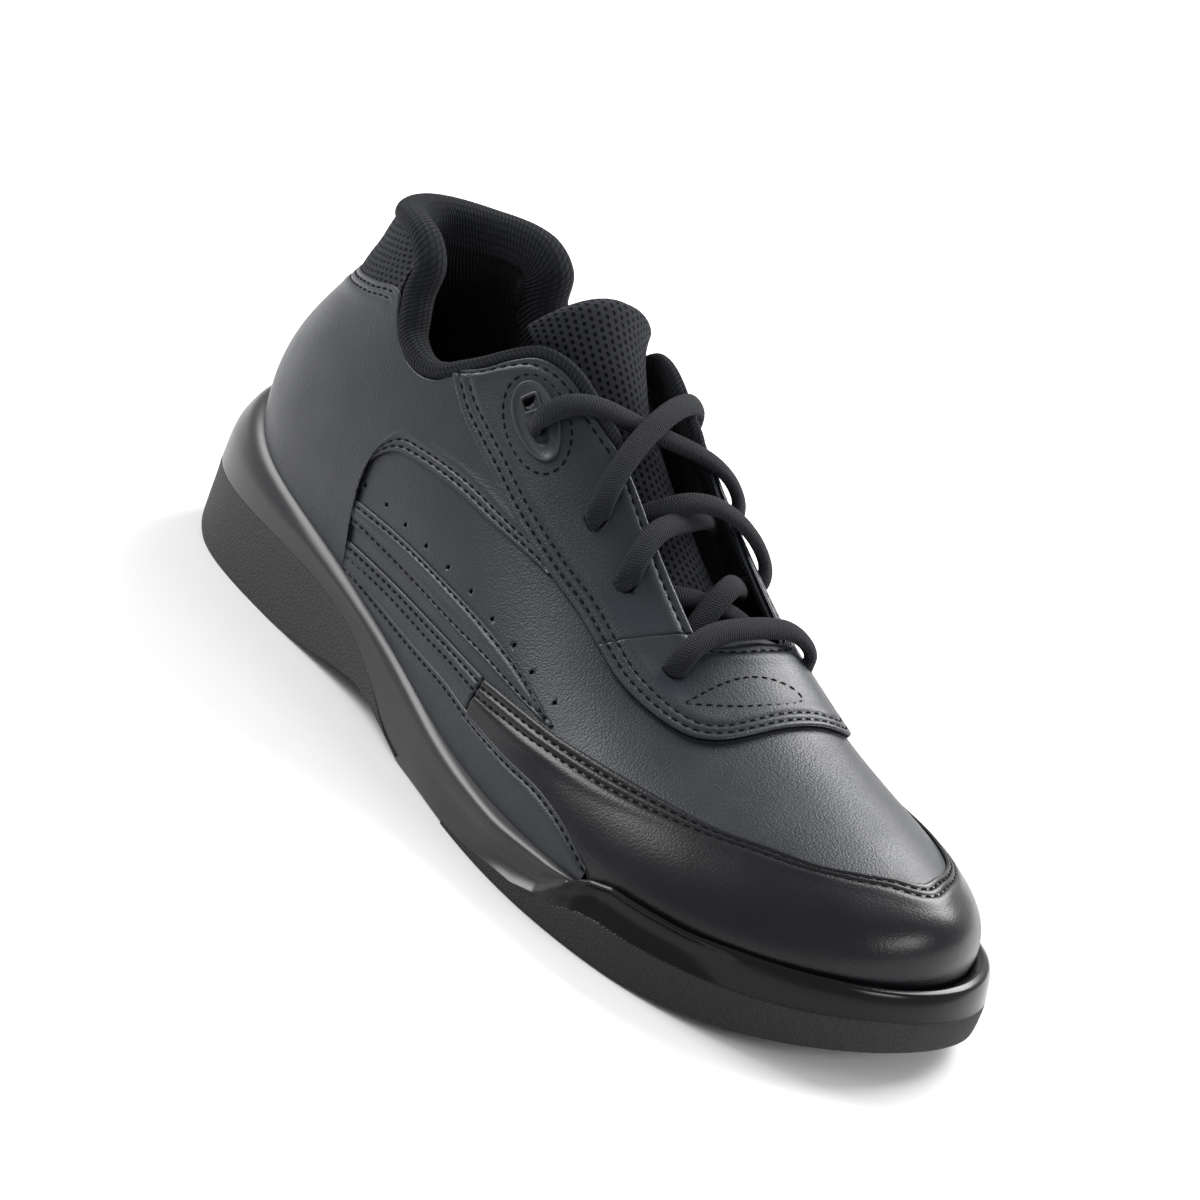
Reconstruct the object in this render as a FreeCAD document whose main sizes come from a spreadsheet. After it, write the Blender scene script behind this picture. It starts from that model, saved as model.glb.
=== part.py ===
"""Lace-up bowling shoe, right foot, as separate pieces in one parametric document.

Row frame, millimetres: +X to the toe, +Y to the big-toe side (medial), -Y to the outside of the foot
(lateral), +Z up.  The origin is at the middle of the sole's footprint, on the ground.

The upper is described on one smooth "shell", the outer face of the shoe.  A place on it is (station,
height): station runs round the shoe from 0 at the heel through 5 at the outer waist to 11 at the toe and
on to 22 at the heel again, and height runs from 0 at the feather line, where the upper meets the sole, to
1 at the top line.  Every leather, lining and stiffener is a patch of that shell at its own depth.
"""
import FreeCAD, Part
import math
import os

os.makedirs("parts", exist_ok=True)
doc = FreeCAD.newDocument("bowling_shoe")
V = FreeCAD.Vector

# ------------------------------------------------------------------ driving dimensions, millimetres
DIMENSIONS = [
    ("last_length", 284.0),      # feather line, heel to toe
    ("last_width", 103.0),       # feather line across the ball of the foot
    ("last_height", 109.0),      # top line at the back of the heel
    ("sole_length", 299.0),      # footprint, heel to toe
    ("sole_width", 111.0),       # footprint across the ball
    ("sole_tall", 48.0),         # raw height that the sole unit is cut from
    ("heel_block_top", 21.0),    # top of the textured heel block
    ("bumper_top", 20.5),        # top of the toe bumper
    ("board_thick", 1.8),
    ("footbed_thick", 4.0),
    ("footbed_gap", 0.4),
    ("shank_thick", 1.0),
    ("shank_width", 14.0),
    ("slide_pad_thick", 1.8),
    ("leather_thick", 1.2),
    ("layer_gap", 0.25),
    ("stiffener_thick", 0.9),
    ("lining_thick", 1.0),
    ("collar_depth", 9.5),       # padded rim of the collar, outside to inside
    ("padding_depth", 5.0),      # foam behind the collar lining, at its thickest
    ("tongue_face_thick", 0.8),
    ("tongue_foam_thick", 4.6),
    ("plate_thick", 1.0),
    ("plate_length", 21.0),
    ("plate_width", 12.0),
    ("eyelet_radius", 2.3),
    ("lace_thick", 4.2),
    ("aglet_thick", 4.6),
    ("aglet_length", 18.0),
]
sheet = doc.addObject("Spreadsheet::Sheet", "sheet")
for row, (alias, value) in enumerate(DIMENSIONS, start=1):
    sheet.set("A%d" % row, alias)
    sheet.set("B%d" % row, str(value))
    sheet.setAlias("B%d" % row, alias)
doc.recompute()


def size(alias):
    """The value of a named cell."""
    return float(getattr(sheet, alias))


# ------------------------------------------------------------------ the shell
# The stations from heel to toe, for a last of the base size.  Each gives the feather line (x, half width
# on the outside, half width on the inside, z), the top line (x, half width, middle y, z), and how the wall
# leaves them: its rise and lean from the feather line, and its reach from the top line with its tilt in
# degrees on the outside and on the inside.  Past the instep the top line is one ridge.
BASE_LAST = (284.0, 103.0, 109.0)
STATIONS = [
    (-140, 0, 0, 45, -119, 0, 0, 108, 28, 6, 22, 88, 88),
    (-133, 18, 18, 43, -113, 14, 0, 108, 28, 6, 22, 88, 88),
    (-112, 32, 31, 34, -98, 25, 0, 109, 32, 6, 22, 90, 90),
    (-75, 35, 32, 29, -70, 29, 0, 112, 34, 5, 24, 90, 90),
    (-35, 38, 31, 22, -36, 20, 2, 120, 38, 5, 24, 78, 78),
    (5, 46, 36, 14, -2, 4, 5, 101, 38, 4, 24, 46, 34),
    (42, 53, 44, 13, 34, 0, 7, 74, 29, 3, 24, 30, 16),
    (75, 54, 48, 14, 66, 0, 8, 58, 25, 3, 24, 19, 12),
    (103, 49, 48, 16, 93, 0, 7, 53, 23, 4, 21, 12, 12),
    (126, 36, 39, 18, 114, 0, 6, 49, 21, 5, 18, 10, 12),
    (140, 17, 21, 19, 125, 0, 5, 46, 20, 6, 14, 10, 12),
    (144, -3, 3, 20, 128, 0, 4, 45, 20, 6, 14, 12, 12),
]
# The footprint from heel to toe: x, half width on the outside, half width on the inside.
BASE_SOLE = (299.0, 111.0)
FOOTPRINT = [
    (-148, 0, 0), (-142, 20, 19), (-118, 35, 33), (-80, 38, 34), (-35, 40, 31), (8, 50, 38), (45, 58, 47),
    (78, 58, 53), (106, 52, 53), (131, 38, 44), (146, 18, 27), (151, -5, 5),
]
CENTRE = V(-1.4, 2.5, 0)            # puts the middle of the whole sole's outline over the origin
ROUND = 2 * (len(STATIONS) - 1)     # stations in one whole turn
TOE = len(STATIONS) - 1
TUCK = -0.03                        # height at which the upper's pieces end, inside the sole's rim
CROWN = 0.24                        # share of the height, each side of the ridge, that one crown rounds off


def both_sides(rows, make):
    """One closed loop of rows: down the outside from the heel to the toe, back along the inside."""
    loop = [make(row, -1) for row in rows]
    return loop + [make(row, 1) for row in reversed(rows[1:-1])]


def wall_controls():
    """The four control loops of the wall's Bezier sections."""
    grow_x = size("last_length") / BASE_LAST[0]
    grow_y = size("last_width") / BASE_LAST[1]
    grow_z = size("last_height") / BASE_LAST[2]

    def section(row, sign):
        x, outer, inner, z, x_top, half_top, y_top, z_top, rise, lean, reach, tilt_out, tilt_in = row
        foot = CENTRE + V(x * grow_x, sign * (outer if sign < 0 else inner) * grow_y, z * grow_z)
        top = CENTRE + V(x_top * grow_x, (y_top + sign * half_top) * grow_y, z_top * grow_z)
        away = V(foot.x - top.x, foot.y - top.y, 0).normalize()
        low = foot + away * lean + V(0, 0, rise)
        angle = math.radians(tilt_out if sign < 0 else tilt_in)
        high = top + away * (reach * math.cos(angle)) - V(0, 0, reach * math.sin(angle))
        return foot, low, high, top

    loop = both_sides(STATIONS, section)
    return [[row[i] for row in loop] for i in range(4)]


def along(loop, station):
    """A point of the closed cubic B-spline whose control points are the loop."""
    first = math.floor(station)
    u = station - first
    weights = ((1 - u) ** 3 / 6, (3 * u ** 3 - 6 * u * u + 4) / 6,
               (-3 * u ** 3 + 3 * u * u + 3 * u + 1) / 6, u ** 3 / 6)
    total = V(0, 0, 0)
    for i, weight in enumerate(weights):
        total += loop[(first - 1 + i) % len(loop)] * weight
    return total


CONTROLS = wall_controls()


def shell(station, height):
    """A point of the outer face.  Heights under 0 and over 1 carry the wall straight on."""
    foot, low, high, top = [along(loop, station) for loop in CONTROLS]
    if height < 0:
        return foot + (low - foot) * (3 * height)
    if height > 1:
        return top + (top - high) * (3 * (height - 1))
    rest = 1 - height
    return (foot * rest ** 3 + low * (3 * rest * rest * height)
            + high * (3 * rest * height * height) + top * height ** 3)


def side(station, height, depth):
    """A point at a depth under one side of the shell."""
    step = 0.01
    round_it = shell(station + step, height) - shell(station - step, height)
    up_it = shell(station, height + step) - shell(station, height - step)
    return shell(station, height) - round_it.cross(up_it).normalize() * depth


def over(station, height, depth):
    """A point over the instep: heights 0 to 1 climb the outside, and 1 to 2 go down the inside.

    Near the ridge one smooth crown joins the two sides."""
    far = ROUND - station
    if height <= 1 - CROWN:
        return side(station, height, depth)
    if height >= 1 + CROWN:
        return side(far, 2 - height, depth)
    step = 0.01
    edge = 1 - CROWN
    start, end = side(station, edge, depth), side(far, edge, depth)
    leave = (start - side(station, edge - step, depth)) * (2 * CROWN / step)
    arrive = (side(far, edge - step, depth) - end) * (2 * CROWN / step)
    u = (height - edge) / (2 * CROWN)
    return (start * (2 * u ** 3 - 3 * u * u + 1) + leave * (u ** 3 - 2 * u * u + u)
            + end * (3 * u * u - 2 * u ** 3) + arrive * (u ** 3 - u * u))


def smooth(points):
    """A function of 0..1 through the points, a Catmull-Rom curve on their running length."""
    if len(points) == 2:
        return lambda t: tuple(a + (b - a) * t for a, b in zip(*points))
    marks = [0.0]
    for a, b in zip(points, points[1:]):
        marks.append(marks[-1] + math.hypot(b[0] - a[0], 6 * (b[1] - a[1])) ** 0.7)
    marks = [mark / marks[-1] for mark in marks]

    def slope(i, axis):
        low, high = max(i - 1, 0), min(i + 1, len(points) - 1)
        return (points[high][axis] - points[low][axis]) / (marks[high] - marks[low])

    def curve(t):
        i = max(n for n in range(len(points) - 1) if marks[n] <= t + 1e-9)
        span = marks[i + 1] - marks[i]
        u = (t - marks[i]) / span
        out = []
        for axis in (0, 1):
            out.append((2 * u ** 3 - 3 * u * u + 1) * points[i][axis]
                       + (u ** 3 - 2 * u * u + u) * span * slope(i, axis)
                       + (3 * u * u - 2 * u ** 3) * points[i + 1][axis]
                       + (u ** 3 - u * u) * span * slope(i + 1, axis))
        return tuple(out)
    return curve


def skin(rows):
    """One smooth face through a grid of points."""
    surface = Part.BSplineSurface()
    surface.interpolate(rows)
    return surface.toShape()


def slab(outer_rows, inner_rows):
    """A closed solid between two grids of points with the same layout."""
    faces = [skin(outer_rows), skin(inner_rows)]
    rims = []
    for face in faces:
        surface = face.Surface
        u_low, u_high, v_low, v_high = surface.bounds()
        rims.append([surface.uIso(u_low), surface.uIso(u_high), surface.vIso(v_low), surface.vIso(v_high)])
    for outer_edge, inner_edge in zip(*rims):
        faces.append(Part.makeRuledSurface(outer_edge.toShape(), inner_edge.toShape()))
    shell_of_faces = Part.Shell(faces)
    shell_of_faces.sewShape()
    solid = Part.Solid(shell_of_faces)
    if solid.Volume < 0:
        solid.reverse()
    return solid


def patch(low_edge, high_edge, outer_depth, inner_depth, place=side, columns=24, rows=7):
    """A piece of the upper between two edges, each a few (station, height) points.

    A depth is a number, or a function of (station, height, share of the way up the patch)."""
    low, high = smooth(low_edge), smooth(high_edge)

    def grid(depth):
        lines = []
        for i in range(columns):
            a, b = low(i / (columns - 1)), high(i / (columns - 1))
            line = []
            for j in range(rows):
                share = j / (rows - 1)
                station = a[0] + (b[0] - a[0]) * share
                height = a[1] + (b[1] - a[1]) * share
                deep = depth(station, height, share) if callable(depth) else depth
                line.append(place(station, height, deep))
            lines.append(line)
        return lines
    return slab(grid(outer_depth), grid(inner_depth))


def mirrored(points):
    """The same (station, height) points on the other side of the shoe, in the same running direction."""
    return [(ROUND - station, height) for station, height in reversed(points)]


# ------------------------------------------------------------------ document helpers
NODES = []


def node(obj, label):
    """Name a finished piece."""
    obj.Label = label
    NODES.append(obj)
    return obj


def feature(label, shape):
    """A piece whose shape is worked out above."""
    obj = doc.addObject("Part::Feature", label)
    obj.Shape = shape
    obj.Placement = FreeCAD.Placement()
    return node(obj, label)


def tool(name, shape):
    """A shape that only helps to cut a piece."""
    obj = doc.addObject("Part::Feature", name)
    obj.Shape = shape
    return obj


def cut(label, base, *tools):
    """The base piece less its tools, as one boolean object."""
    result = base
    for i, cutter in enumerate(tools):
        step = doc.addObject("Part::Cut", "%s_cut_%d" % (label, i + 1))
        step.Base, step.Tool = result, cutter
        result = step
    result.Placement = FreeCAD.Placement()
    if base in NODES:
        NODES.remove(base)
        base.Label = label + "_blank"
    return node(result, label)


def origin_plane(body, role):
    return [f for f in body.Origin.OriginFeatures if f.Role == role][0]


def sketch(body, name, role, curves):
    """A sketch on one of the body's own origin planes."""
    obj = body.newObject("Sketcher::SketchObject", name)
    obj.AttachmentSupport = (origin_plane(body, role), "")
    obj.MapMode = "FlatFace"
    for curve in curves:
        obj.addGeometry(curve, False)
    return obj


def closed_outline(points):
    """A closed B-spline through the points, in the sketch's plane."""
    curve = Part.BSplineCurve()
    curve.interpolate(Points=[V(x, y, 0) for x, y in points], PeriodicFlag=True)
    return [curve]


def side_profile(points, beyond):
    """A smooth line through (x, z) points, closed far above or below it at z = beyond."""
    line = Part.BSplineCurve()
    line.interpolate([V(x, z, 0) for x, z in points])
    first, last = V(points[0][0], points[0][1], 0), V(points[-1][0], points[-1][1], 0)
    low_first, low_last = V(first.x, beyond, 0), V(last.x, beyond, 0)
    return [line, Part.LineSegment(last, low_last), Part.LineSegment(low_last, low_first),
            Part.LineSegment(low_first, first)]


def block(name, outline, height, profiles):
    """A Body: a plan outline padded up to a bound height, then pocketed by side profiles."""
    body = doc.addObject("PartDesign::Body", name)
    pad = body.newObject("PartDesign::Pad", name + "_pad")
    pad.Profile = sketch(body, name + "_plan", "XY_Plane", outline)
    pad.setExpression("Length", height)
    doc.recompute()
    for i, curves in enumerate(profiles):
        before = body.Shape.Volume
        pocket = body.newObject("PartDesign::Pocket", "%s_pocket_%d" % (name, i + 1))
        pocket.Profile = sketch(body, "%s_side_%d" % (name, i + 1), "XZ_Plane", curves)
        pocket.Type = "ThroughAll"
        pocket.Midplane = True
        doc.recompute()
        if not body.Shape.Volume < before - 1:
            raise RuntimeError("%s: profile %d removes nothing" % (name, i + 1))
    body.Placement = FreeCAD.Placement()
    return body


# ------------------------------------------------------------------ sole unit
FAR_UP, FAR_DOWN = 90.0, -30.0


def footprint(inset=0.0, count=44):
    """Points round the sole's footprint, moved inwards by an inset."""
    grow_x = size("sole_length") / BASE_SOLE[0]
    grow_y = size("sole_width") / BASE_SOLE[1]

    def spot(row, sign):
        return CENTRE + V(row[0] * grow_x, sign * row[1 if sign < 0 else 2] * grow_y, 0)

    loop = both_sides(FOOTPRINT, spot)
    return moved_in(lambda station: along(loop, station), inset, count)


def feather(inset=0.0, count=44):
    """Points round the feather line seen from above, moved inwards by an inset."""
    return moved_in(lambda station: shell(station, 0), inset, count)


def moved_in(curve, inset, count):
    points = []
    for i in range(count):
        station = ROUND * i / count
        run = curve(station + 0.01) - curve(station - 0.01)
        inward = V(-run.y, run.x, 0).normalize()
        spot = curve(station) + inward * inset
        points.append((spot.x, spot.y))
    return points


# Side profiles from heel to toe, (x, z).
GROUND_LINE = [(-160, 3.5), (-146, 1.6), (-125, 0), (-80, 0), (-58, 2.6), (-36, 6), (-14, 2.6), (6, 0),
               (60, 0), (98, 0.4), (125, 3.4), (150, 9.5), (160, 13)]
RIM_LINE = [(-160, 48), (-140, 45.2), (-125, 39.5), (-110, 34), (-75, 29.5), (-35, 22.5), (5, 15.3), (42, 13.8),
            (75, 15), (103, 16.8), (126, 18.4), (146, 19.2), (160, 19.6)]
FLOOR_LINE = [(-160, 35), (-140, 32), (-110, 29), (-75, 25), (-35, 18.2), (5, 10.2), (42, 8.8), (75, 9.6),
              (103, 11.4), (126, 13.8), (144, 16.2), (160, 18)]
heel_top, bumper_top = size("heel_block_top"), size("bumper_top")
HEEL_LINE = [(-160, heel_top), (-110, heel_top), (-70, heel_top - 0.6), (-46, heel_top - 4), (-31, 11.5),
             (-20, 5.4), (-6, 1)]
BALL_LINE = [(24, 0.6), (40, 2), (58, 4), (66, 6), (72, 11), (78, 16.5), (88, bumper_top - 1.6),
             (110, bumper_top - 0.5), (160, bumper_top + 1)]
HEEL_FRONT, BALL_BACK = -6.0, 24.0      # where the textured rubber stops, either side of the waist


def lifted(line, up):
    return [(x, z + up) for x, z in line]


def beyond_line(line, x_stop, forward):
    """The profile above a line that runs to one end of the shoe, and of all past its other end."""
    curve = Part.BSplineCurve()
    curve.interpolate([V(x, z, 0) for x, z in line])
    first, last = V(*line[0], 0), V(*line[-1], 0)
    if forward:     # rubber in front of x_stop
        corners = [last, V(last.x, FAR_UP, 0), V(-165, FAR_UP, 0), V(-165, FAR_DOWN, 0),
                   V(x_stop, FAR_DOWN, 0), first]
    else:           # rubber behind x_stop
        corners = [last, V(x_stop, FAR_DOWN, 0), V(165, FAR_DOWN, 0), V(165, FAR_UP, 0),
                   V(first.x, FAR_UP, 0), first]
    return [curve] + [Part.LineSegment(a, b) for a, b in zip(corners, corners[1:])]


recess = block("recess_tool", closed_outline(feather(-0.5)), "sheet.sole_tall + 20",
               [side_profile(FLOOR_LINE, FAR_DOWN)])
ground = side_profile(GROUND_LINE, FAR_DOWN)

heel_blank = block("outsole_heel_blank", closed_outline(footprint()), "sheet.sole_tall",
                   [ground, beyond_line(HEEL_LINE, HEEL_FRONT, False)])
node(heel_blank, "outsole_heel")

ball_blank = block("outsole_forefoot_blank", closed_outline(footprint()), "sheet.sole_tall",
                   [ground, beyond_line(BALL_LINE, BALL_BACK, True)])

SLIDE_PAD = [(47, 1), (49, -34), (60, -44), (78, -44), (92, -34), (97, 3), (92, 38), (78, 45), (60, 41),
             (49, 30)]
PAD_ROOM = 0.8                      # how far the pad's recess is shifted and widened round it
slide_pad = block("slide_sole_pad", closed_outline(SLIDE_PAD), "sheet.slide_pad_thick", [])
node(slide_pad, "slide_sole_pad")
pad_room = doc.addObject("PartDesign::Body", "slide_pad_room")
room_pad = pad_room.newObject("PartDesign::Pad", "slide_pad_room_pad")
room_pad.Profile = sketch(pad_room, "slide_pad_room_plan", "XY_Plane",
                          closed_outline([(x * (1 + 0.015 * PAD_ROOM) - PAD_ROOM, y * (1 + 0.01 * PAD_ROOM))
                                          for x, y in SLIDE_PAD]))
room_pad.setExpression("Length", "sheet.slide_pad_thick + sheet.layer_gap")
cut("outsole_forefoot", ball_blank, recess, pad_room)

waist = doc.addObject("PartDesign::Body", "midsole_blank")
waist_pad = waist.newObject("PartDesign::Pad", "midsole_pad")
waist_pad.Profile = sketch(waist, "midsole_plan", "XY_Plane", closed_outline(footprint()))
waist_pad.setExpression("Length", "sheet.sole_tall")
doc.recompute()


def under_line(line, x_end):
    """The profile of the rubber that the midsole sits on, with the joint's small gap above it."""
    curve = Part.BSplineCurve()
    curve.interpolate([V(x, z, 0) for x, z in line])
    first, last = V(*line[0], 0), V(*line[-1], 0)
    corners = [last, V(x_end if x_end > last.x else last.x, FAR_DOWN, 0), V(first.x, FAR_DOWN, 0), first]
    return [curve] + [Part.LineSegment(a, b) for a, b in zip(corners, corners[1:])]


SOLE_JOINT = 0.15                   # gap between the midsole and the rubber under it
for i, curves in enumerate([ground, side_profile(RIM_LINE, FAR_UP),
                            under_line(lifted(HEEL_LINE, SOLE_JOINT), HEEL_FRONT),
                            under_line(lifted(BALL_LINE, SOLE_JOINT), 170)]):
    pocket = waist.newObject("PartDesign::Pocket", "midsole_pocket_%d" % (i + 1))
    pocket.Profile = sketch(waist, "midsole_side_%d" % (i + 1), "XZ_Plane", curves)
    pocket.Type = "ThroughAll"
    pocket.Midplane = True
    doc.recompute()

SHANK_BACK, SHANK_FRONT = -88.0, 20.0


def follow_floor(x_low, x_high, low, high):
    """The closed profile between two heights over the recess floor."""
    curve = Part.BSplineCurve()
    curve.interpolate([V(x, z, 0) for x, z in FLOOR_LINE])

    def floor_at(x):
        lo, hi = curve.FirstParameter, curve.LastParameter
        for _ in range(50):
            mid = (lo + hi) / 2
            if curve.value(mid).x < x:
                lo = mid
            else:
                hi = mid
        return curve.value((lo + hi) / 2).y
    steps = 12
    xs = [x_low + (x_high - x_low) * i / steps for i in range(steps + 1)]
    edges = []
    for offset, order in ((low, xs), (high, xs[::-1])):
        part = Part.BSplineCurve()
        part.interpolate([V(x, floor_at(x) + offset, 0) for x in order])
        edges.append(part)
    a = [edges[0].value(edges[0].LastParameter), edges[1].value(edges[1].FirstParameter)]
    b = [edges[1].value(edges[1].LastParameter), edges[0].value(edges[0].FirstParameter)]
    return [edges[0], Part.LineSegment(*a), edges[1], Part.LineSegment(*b)]


def on_floor(name, x_low, x_high, low, high, width):
    """A Body: a strip that follows the recess floor, as wide as the bound cell says."""
    body = doc.addObject("PartDesign::Body", name)
    pad = body.newObject("PartDesign::Pad", name + "_pad")
    pad.Profile = sketch(body, name + "_side", "XZ_Plane", follow_floor(x_low, x_high, low, high))
    pad.Midplane = True
    pad.setExpression("Length", width)
    doc.recompute()
    return body


shank_thick, gap = size("shank_thick"), size("layer_gap")
shank = on_floor("shank", SHANK_BACK, SHANK_FRONT, -gap - shank_thick, -gap, "sheet.shank_width")
node(shank, "shank")
shank_room = on_floor("shank_room", SHANK_BACK - 0.5, SHANK_FRONT + 0.5, -2 * gap - shank_thick, 2.0,
                      "sheet.shank_width + 0.6")
cut("midsole", waist, recess, shank_room)

leather, lining = size("leather_thick"), size("lining_thick")
LINING_DEPTH = 2 * leather + size("stiffener_thick") + 4 * gap
BOARD_INSET = LINING_DEPTH + lining + 0.5
board_thick, bed_thick, bed_gap = size("board_thick"), size("footbed_thick"), size("footbed_gap")


def inner_layer(name, inset, low, high):
    """A piece cut to the inside of the upper, between two heights over the recess floor."""
    plan = doc.addObject("PartDesign::Body", name + "_plan_body")
    pad = plan.newObject("PartDesign::Pad", name + "_plan_pad")
    pad.Profile = sketch(plan, name + "_plan", "XY_Plane", closed_outline(feather(inset)))
    pad.setExpression("Length", "sheet.sole_tall")
    layer = on_floor(name + "_layer", -155, 155, low, high, "sheet.sole_width + 20")
    both = doc.addObject("Part::Common", name)
    both.Base, both.Tool = plan, layer
    both.Placement = FreeCAD.Placement()
    return node(both, name)


inner_layer("insole_board", BOARD_INSET, 0.1, board_thick)
inner_layer("footbed", BOARD_INSET + 1.0, board_thick + bed_gap, board_thick + bed_gap + bed_thick)

# ------------------------------------------------------------------ upper: outer pieces
# Edges on the outside of the shoe, each a few (station, height) points; the inside mirrors them.
BUTT = 5.23                              # station of the short seam where the mudguard meets the strip
SEAM = 0.02                              # gap in stations between two pieces that butt
LOW_STITCH = [(3.40, 0.012), (3.73, 0.024), (4.25, 0.050), (4.90, 0.092), (BUTT, 0.102)]
LOW_STITCH_FRONT = [(BUTT, 0.102), (5.83, 0.125), (6.28, 0.143), (6.62, 0.128), (6.88, 0.094), (7.10, 0.050),
                    (7.35, TUCK)]
STRIP_TOP = [(3.40, 0.078), (4.30, 0.140), (BUTT, 0.206)]
GUARD_TOP = [(BUTT, 0.206), (5.78, 0.263), (6.08, 0.294), (6.55, 0.350), (7.08, 0.406), (7.88, 0.475),
             (8.30, 0.531), (8.83, 0.600), (9.33, 0.713), (10.0, 0.860), (11, 0.960)]
REAR_SEAM = [(3.56, 0.640), (3.80, 0.569), (4.23, 0.519), (4.65, 0.494), (5.12, 0.500), (5.50, 0.519),
             (5.78, 0.525)]
STAY_TOP = [(3.60, 0.660), (3.83, 0.742), (3.98, 0.806), (4.18, 0.850), (4.38, 0.853), (4.60, 0.832),
            (4.93, 0.829), (5.50, 0.800), (5.93, 0.790), (6.16, 0.790)]
SADDLE_LOW = [(5.80, 0.525), (6.15, 0.531), (6.58, 0.569), (6.88, 0.619), (7.05, 0.690), (7.15, 0.794),
              (7.19, 0.910), (7.20, 1.0)]
SADDLE_HIGH = [(6.19, 0.790), (6.27, 0.805), (6.34, 0.850), (6.38, 0.920), (6.39, 1.0)]
STRIPE_LOW = [(3.42, 0.120), (3.83, 0.143), (4.60, 0.193), (5.18, 0.236), (5.68, 0.268), (5.95, 0.285)]
STRIPE_TOP = [(3.42, 0.180), (3.65, 0.203), (4.23, 0.236), (4.98, 0.284), (5.50, 0.308), (5.97, 0.306)]
PATCH_LOW = [(0, 0.68), (1, 0.70), (2, 0.77), (2.42, 0.812)]
PATCH_TOP = [(0, 0.985), (1, 0.985), (2, 0.98), (2.42, 0.94)]
COLLAR = [(0, 1.0), (1.25, 1.0), (2.15, 0.995), (2.47, 0.93), (2.54, 0.82), (2.70, 0.72), (2.83, 0.655),
          (3.08, 0.602), (3.28, 0.594), (3.45, 0.617), (3.57, 0.655)]
QUARTER_TOP = [(0.03, 0.665), (1, 0.685), (2, 0.755), (2.44, 0.795), (2.66, 0.715), (2.83, 0.640),
               (3.08, 0.587), (3.28, 0.577), (3.45, 0.598), (3.54, 0.620)]
OVERLAY_TOP = QUARTER_TOP + [(3.78, 0.556), (4.23, 0.507), (4.65, 0.482), (5.20, 0.489)]

over_depth = (0.0, leather)                             # overlays
base_depth = (leather + gap, 2 * leather + gap)         # base leather under them


def pair(name, low_edge, high_edge, depths, **more):
    """The same piece on the outside and on the inside of the shoe."""
    feature(name + "_lateral", patch(low_edge, high_edge, *depths, **more))
    feature(name + "_medial", patch(mirrored(low_edge), mirrored(high_edge), *depths, **more))


def level(points, height):
    """A straight edge at one height under the stations of another edge."""
    return [(points[0][0], height), (points[-1][0], height)]


# The quarter has an arched window whose outline is drawn from the side.
WINDOW = [(-60.5, 22), (-64, 38), (-66.5, 48), (-66, 56), (-61, 61.5), (-54, 64), (-37, 65.3), (-17, 64.4),
          (-2, 63.8), (10.7, 61.2), (20, 57)]


def window_tool(name, side_sign):
    """The prism that opens the window on one side of the shoe."""
    curve = Part.BSplineCurve()
    curve.interpolate([V(x, 0, z) for x, z in WINDOW])
    first, last = V(WINDOW[0][0], 0, WINDOW[0][1]), V(WINDOW[-1][0], 0, WINDOW[-1][1])
    corners = [last, V(70, 0, 40), V(70, 0, -5), V(first.x, 0, -5), first]
    edges = [curve.toShape()] + [Part.makeLine(a, b) for a, b in zip(corners, corners[1:])]
    face = Part.Face(Part.Wire(edges))
    return tool(name, face.extrude(V(0, 80 * side_sign, 0)))


for side_name, sign, turn in (("lateral", -1, lambda e: e), ("medial", 1, mirrored)):
    low_edge = level(OVERLAY_TOP, TUCK)
    blank = feature("quarter_" + side_name, patch(turn(low_edge), turn(OVERLAY_TOP), *over_depth, columns=44))
    cut("quarter_" + side_name, blank, window_tool("window_tool_" + side_name, sign))

pair("foxing_strip", LOW_STITCH[:-1] + [(BUTT - SEAM, 0.102)], STRIP_TOP[:-1] + [(BUTT - SEAM, 0.202)],
     over_depth, rows=4)
ARCH_TOP = [(s, h - 0.008) for s, h in LOW_STITCH + LOW_STITCH_FRONT[1:-2]] + [(7.10, 0.02)]
pair("arch_panel", level(ARCH_TOP, TUCK), ARCH_TOP, over_depth, columns=30, rows=4)
pair("side_stripe", STRIPE_LOW, STRIPE_TOP, over_depth, rows=4)
GUARD_LOW = LOW_STITCH_FRONT + [(7.8, TUCK), (9, TUCK), (11, TUCK)]
GUARD_START = [(BUTT + SEAM, GUARD_LOW[0][1])] + GUARD_LOW[1:]
GUARD_START_TOP = [(BUTT + SEAM, GUARD_TOP[0][1])] + GUARD_TOP[1:]
feature("mudguard", patch(GUARD_START + mirrored(GUARD_START)[1:], GUARD_START_TOP + mirrored(GUARD_START_TOP)[1:],
                          *over_depth, columns=80, rows=7))
feature("heel_mesh_patch", patch([(-s, h) for s, h in reversed(PATCH_LOW)] + PATCH_LOW[1:],
                                 [(-s, h) for s, h in reversed(PATCH_TOP)] + PATCH_TOP[1:],
                                 *over_depth, columns=24, rows=5))


# ------------------------------------------------------------------ eyelets
EYELETS = [(5.12, 0.675), (5.60, 0.669), (6.33, 0.681)]     # second row to fourth row
PLATE = (4.33, 0.697)                                       # middle of the eyelet plate
SLOT = (4.34, 0.684)                                        # its lower slot, which holds the lace
HOLE = (4.15, 0.720)                                        # its upper hole


def drill(spots, radius, reach=12.0):
    """Pins along the shell's normals at the given places, to cut eyelets with."""
    pins = []
    for station, height in spots:
        outside, inside = side(station, height, -reach / 2), side(station, height, reach)
        pins.append(Part.makeCylinder(radius, (inside - outside).Length, outside, inside - outside))
    return Part.makeCompound(pins)


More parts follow.
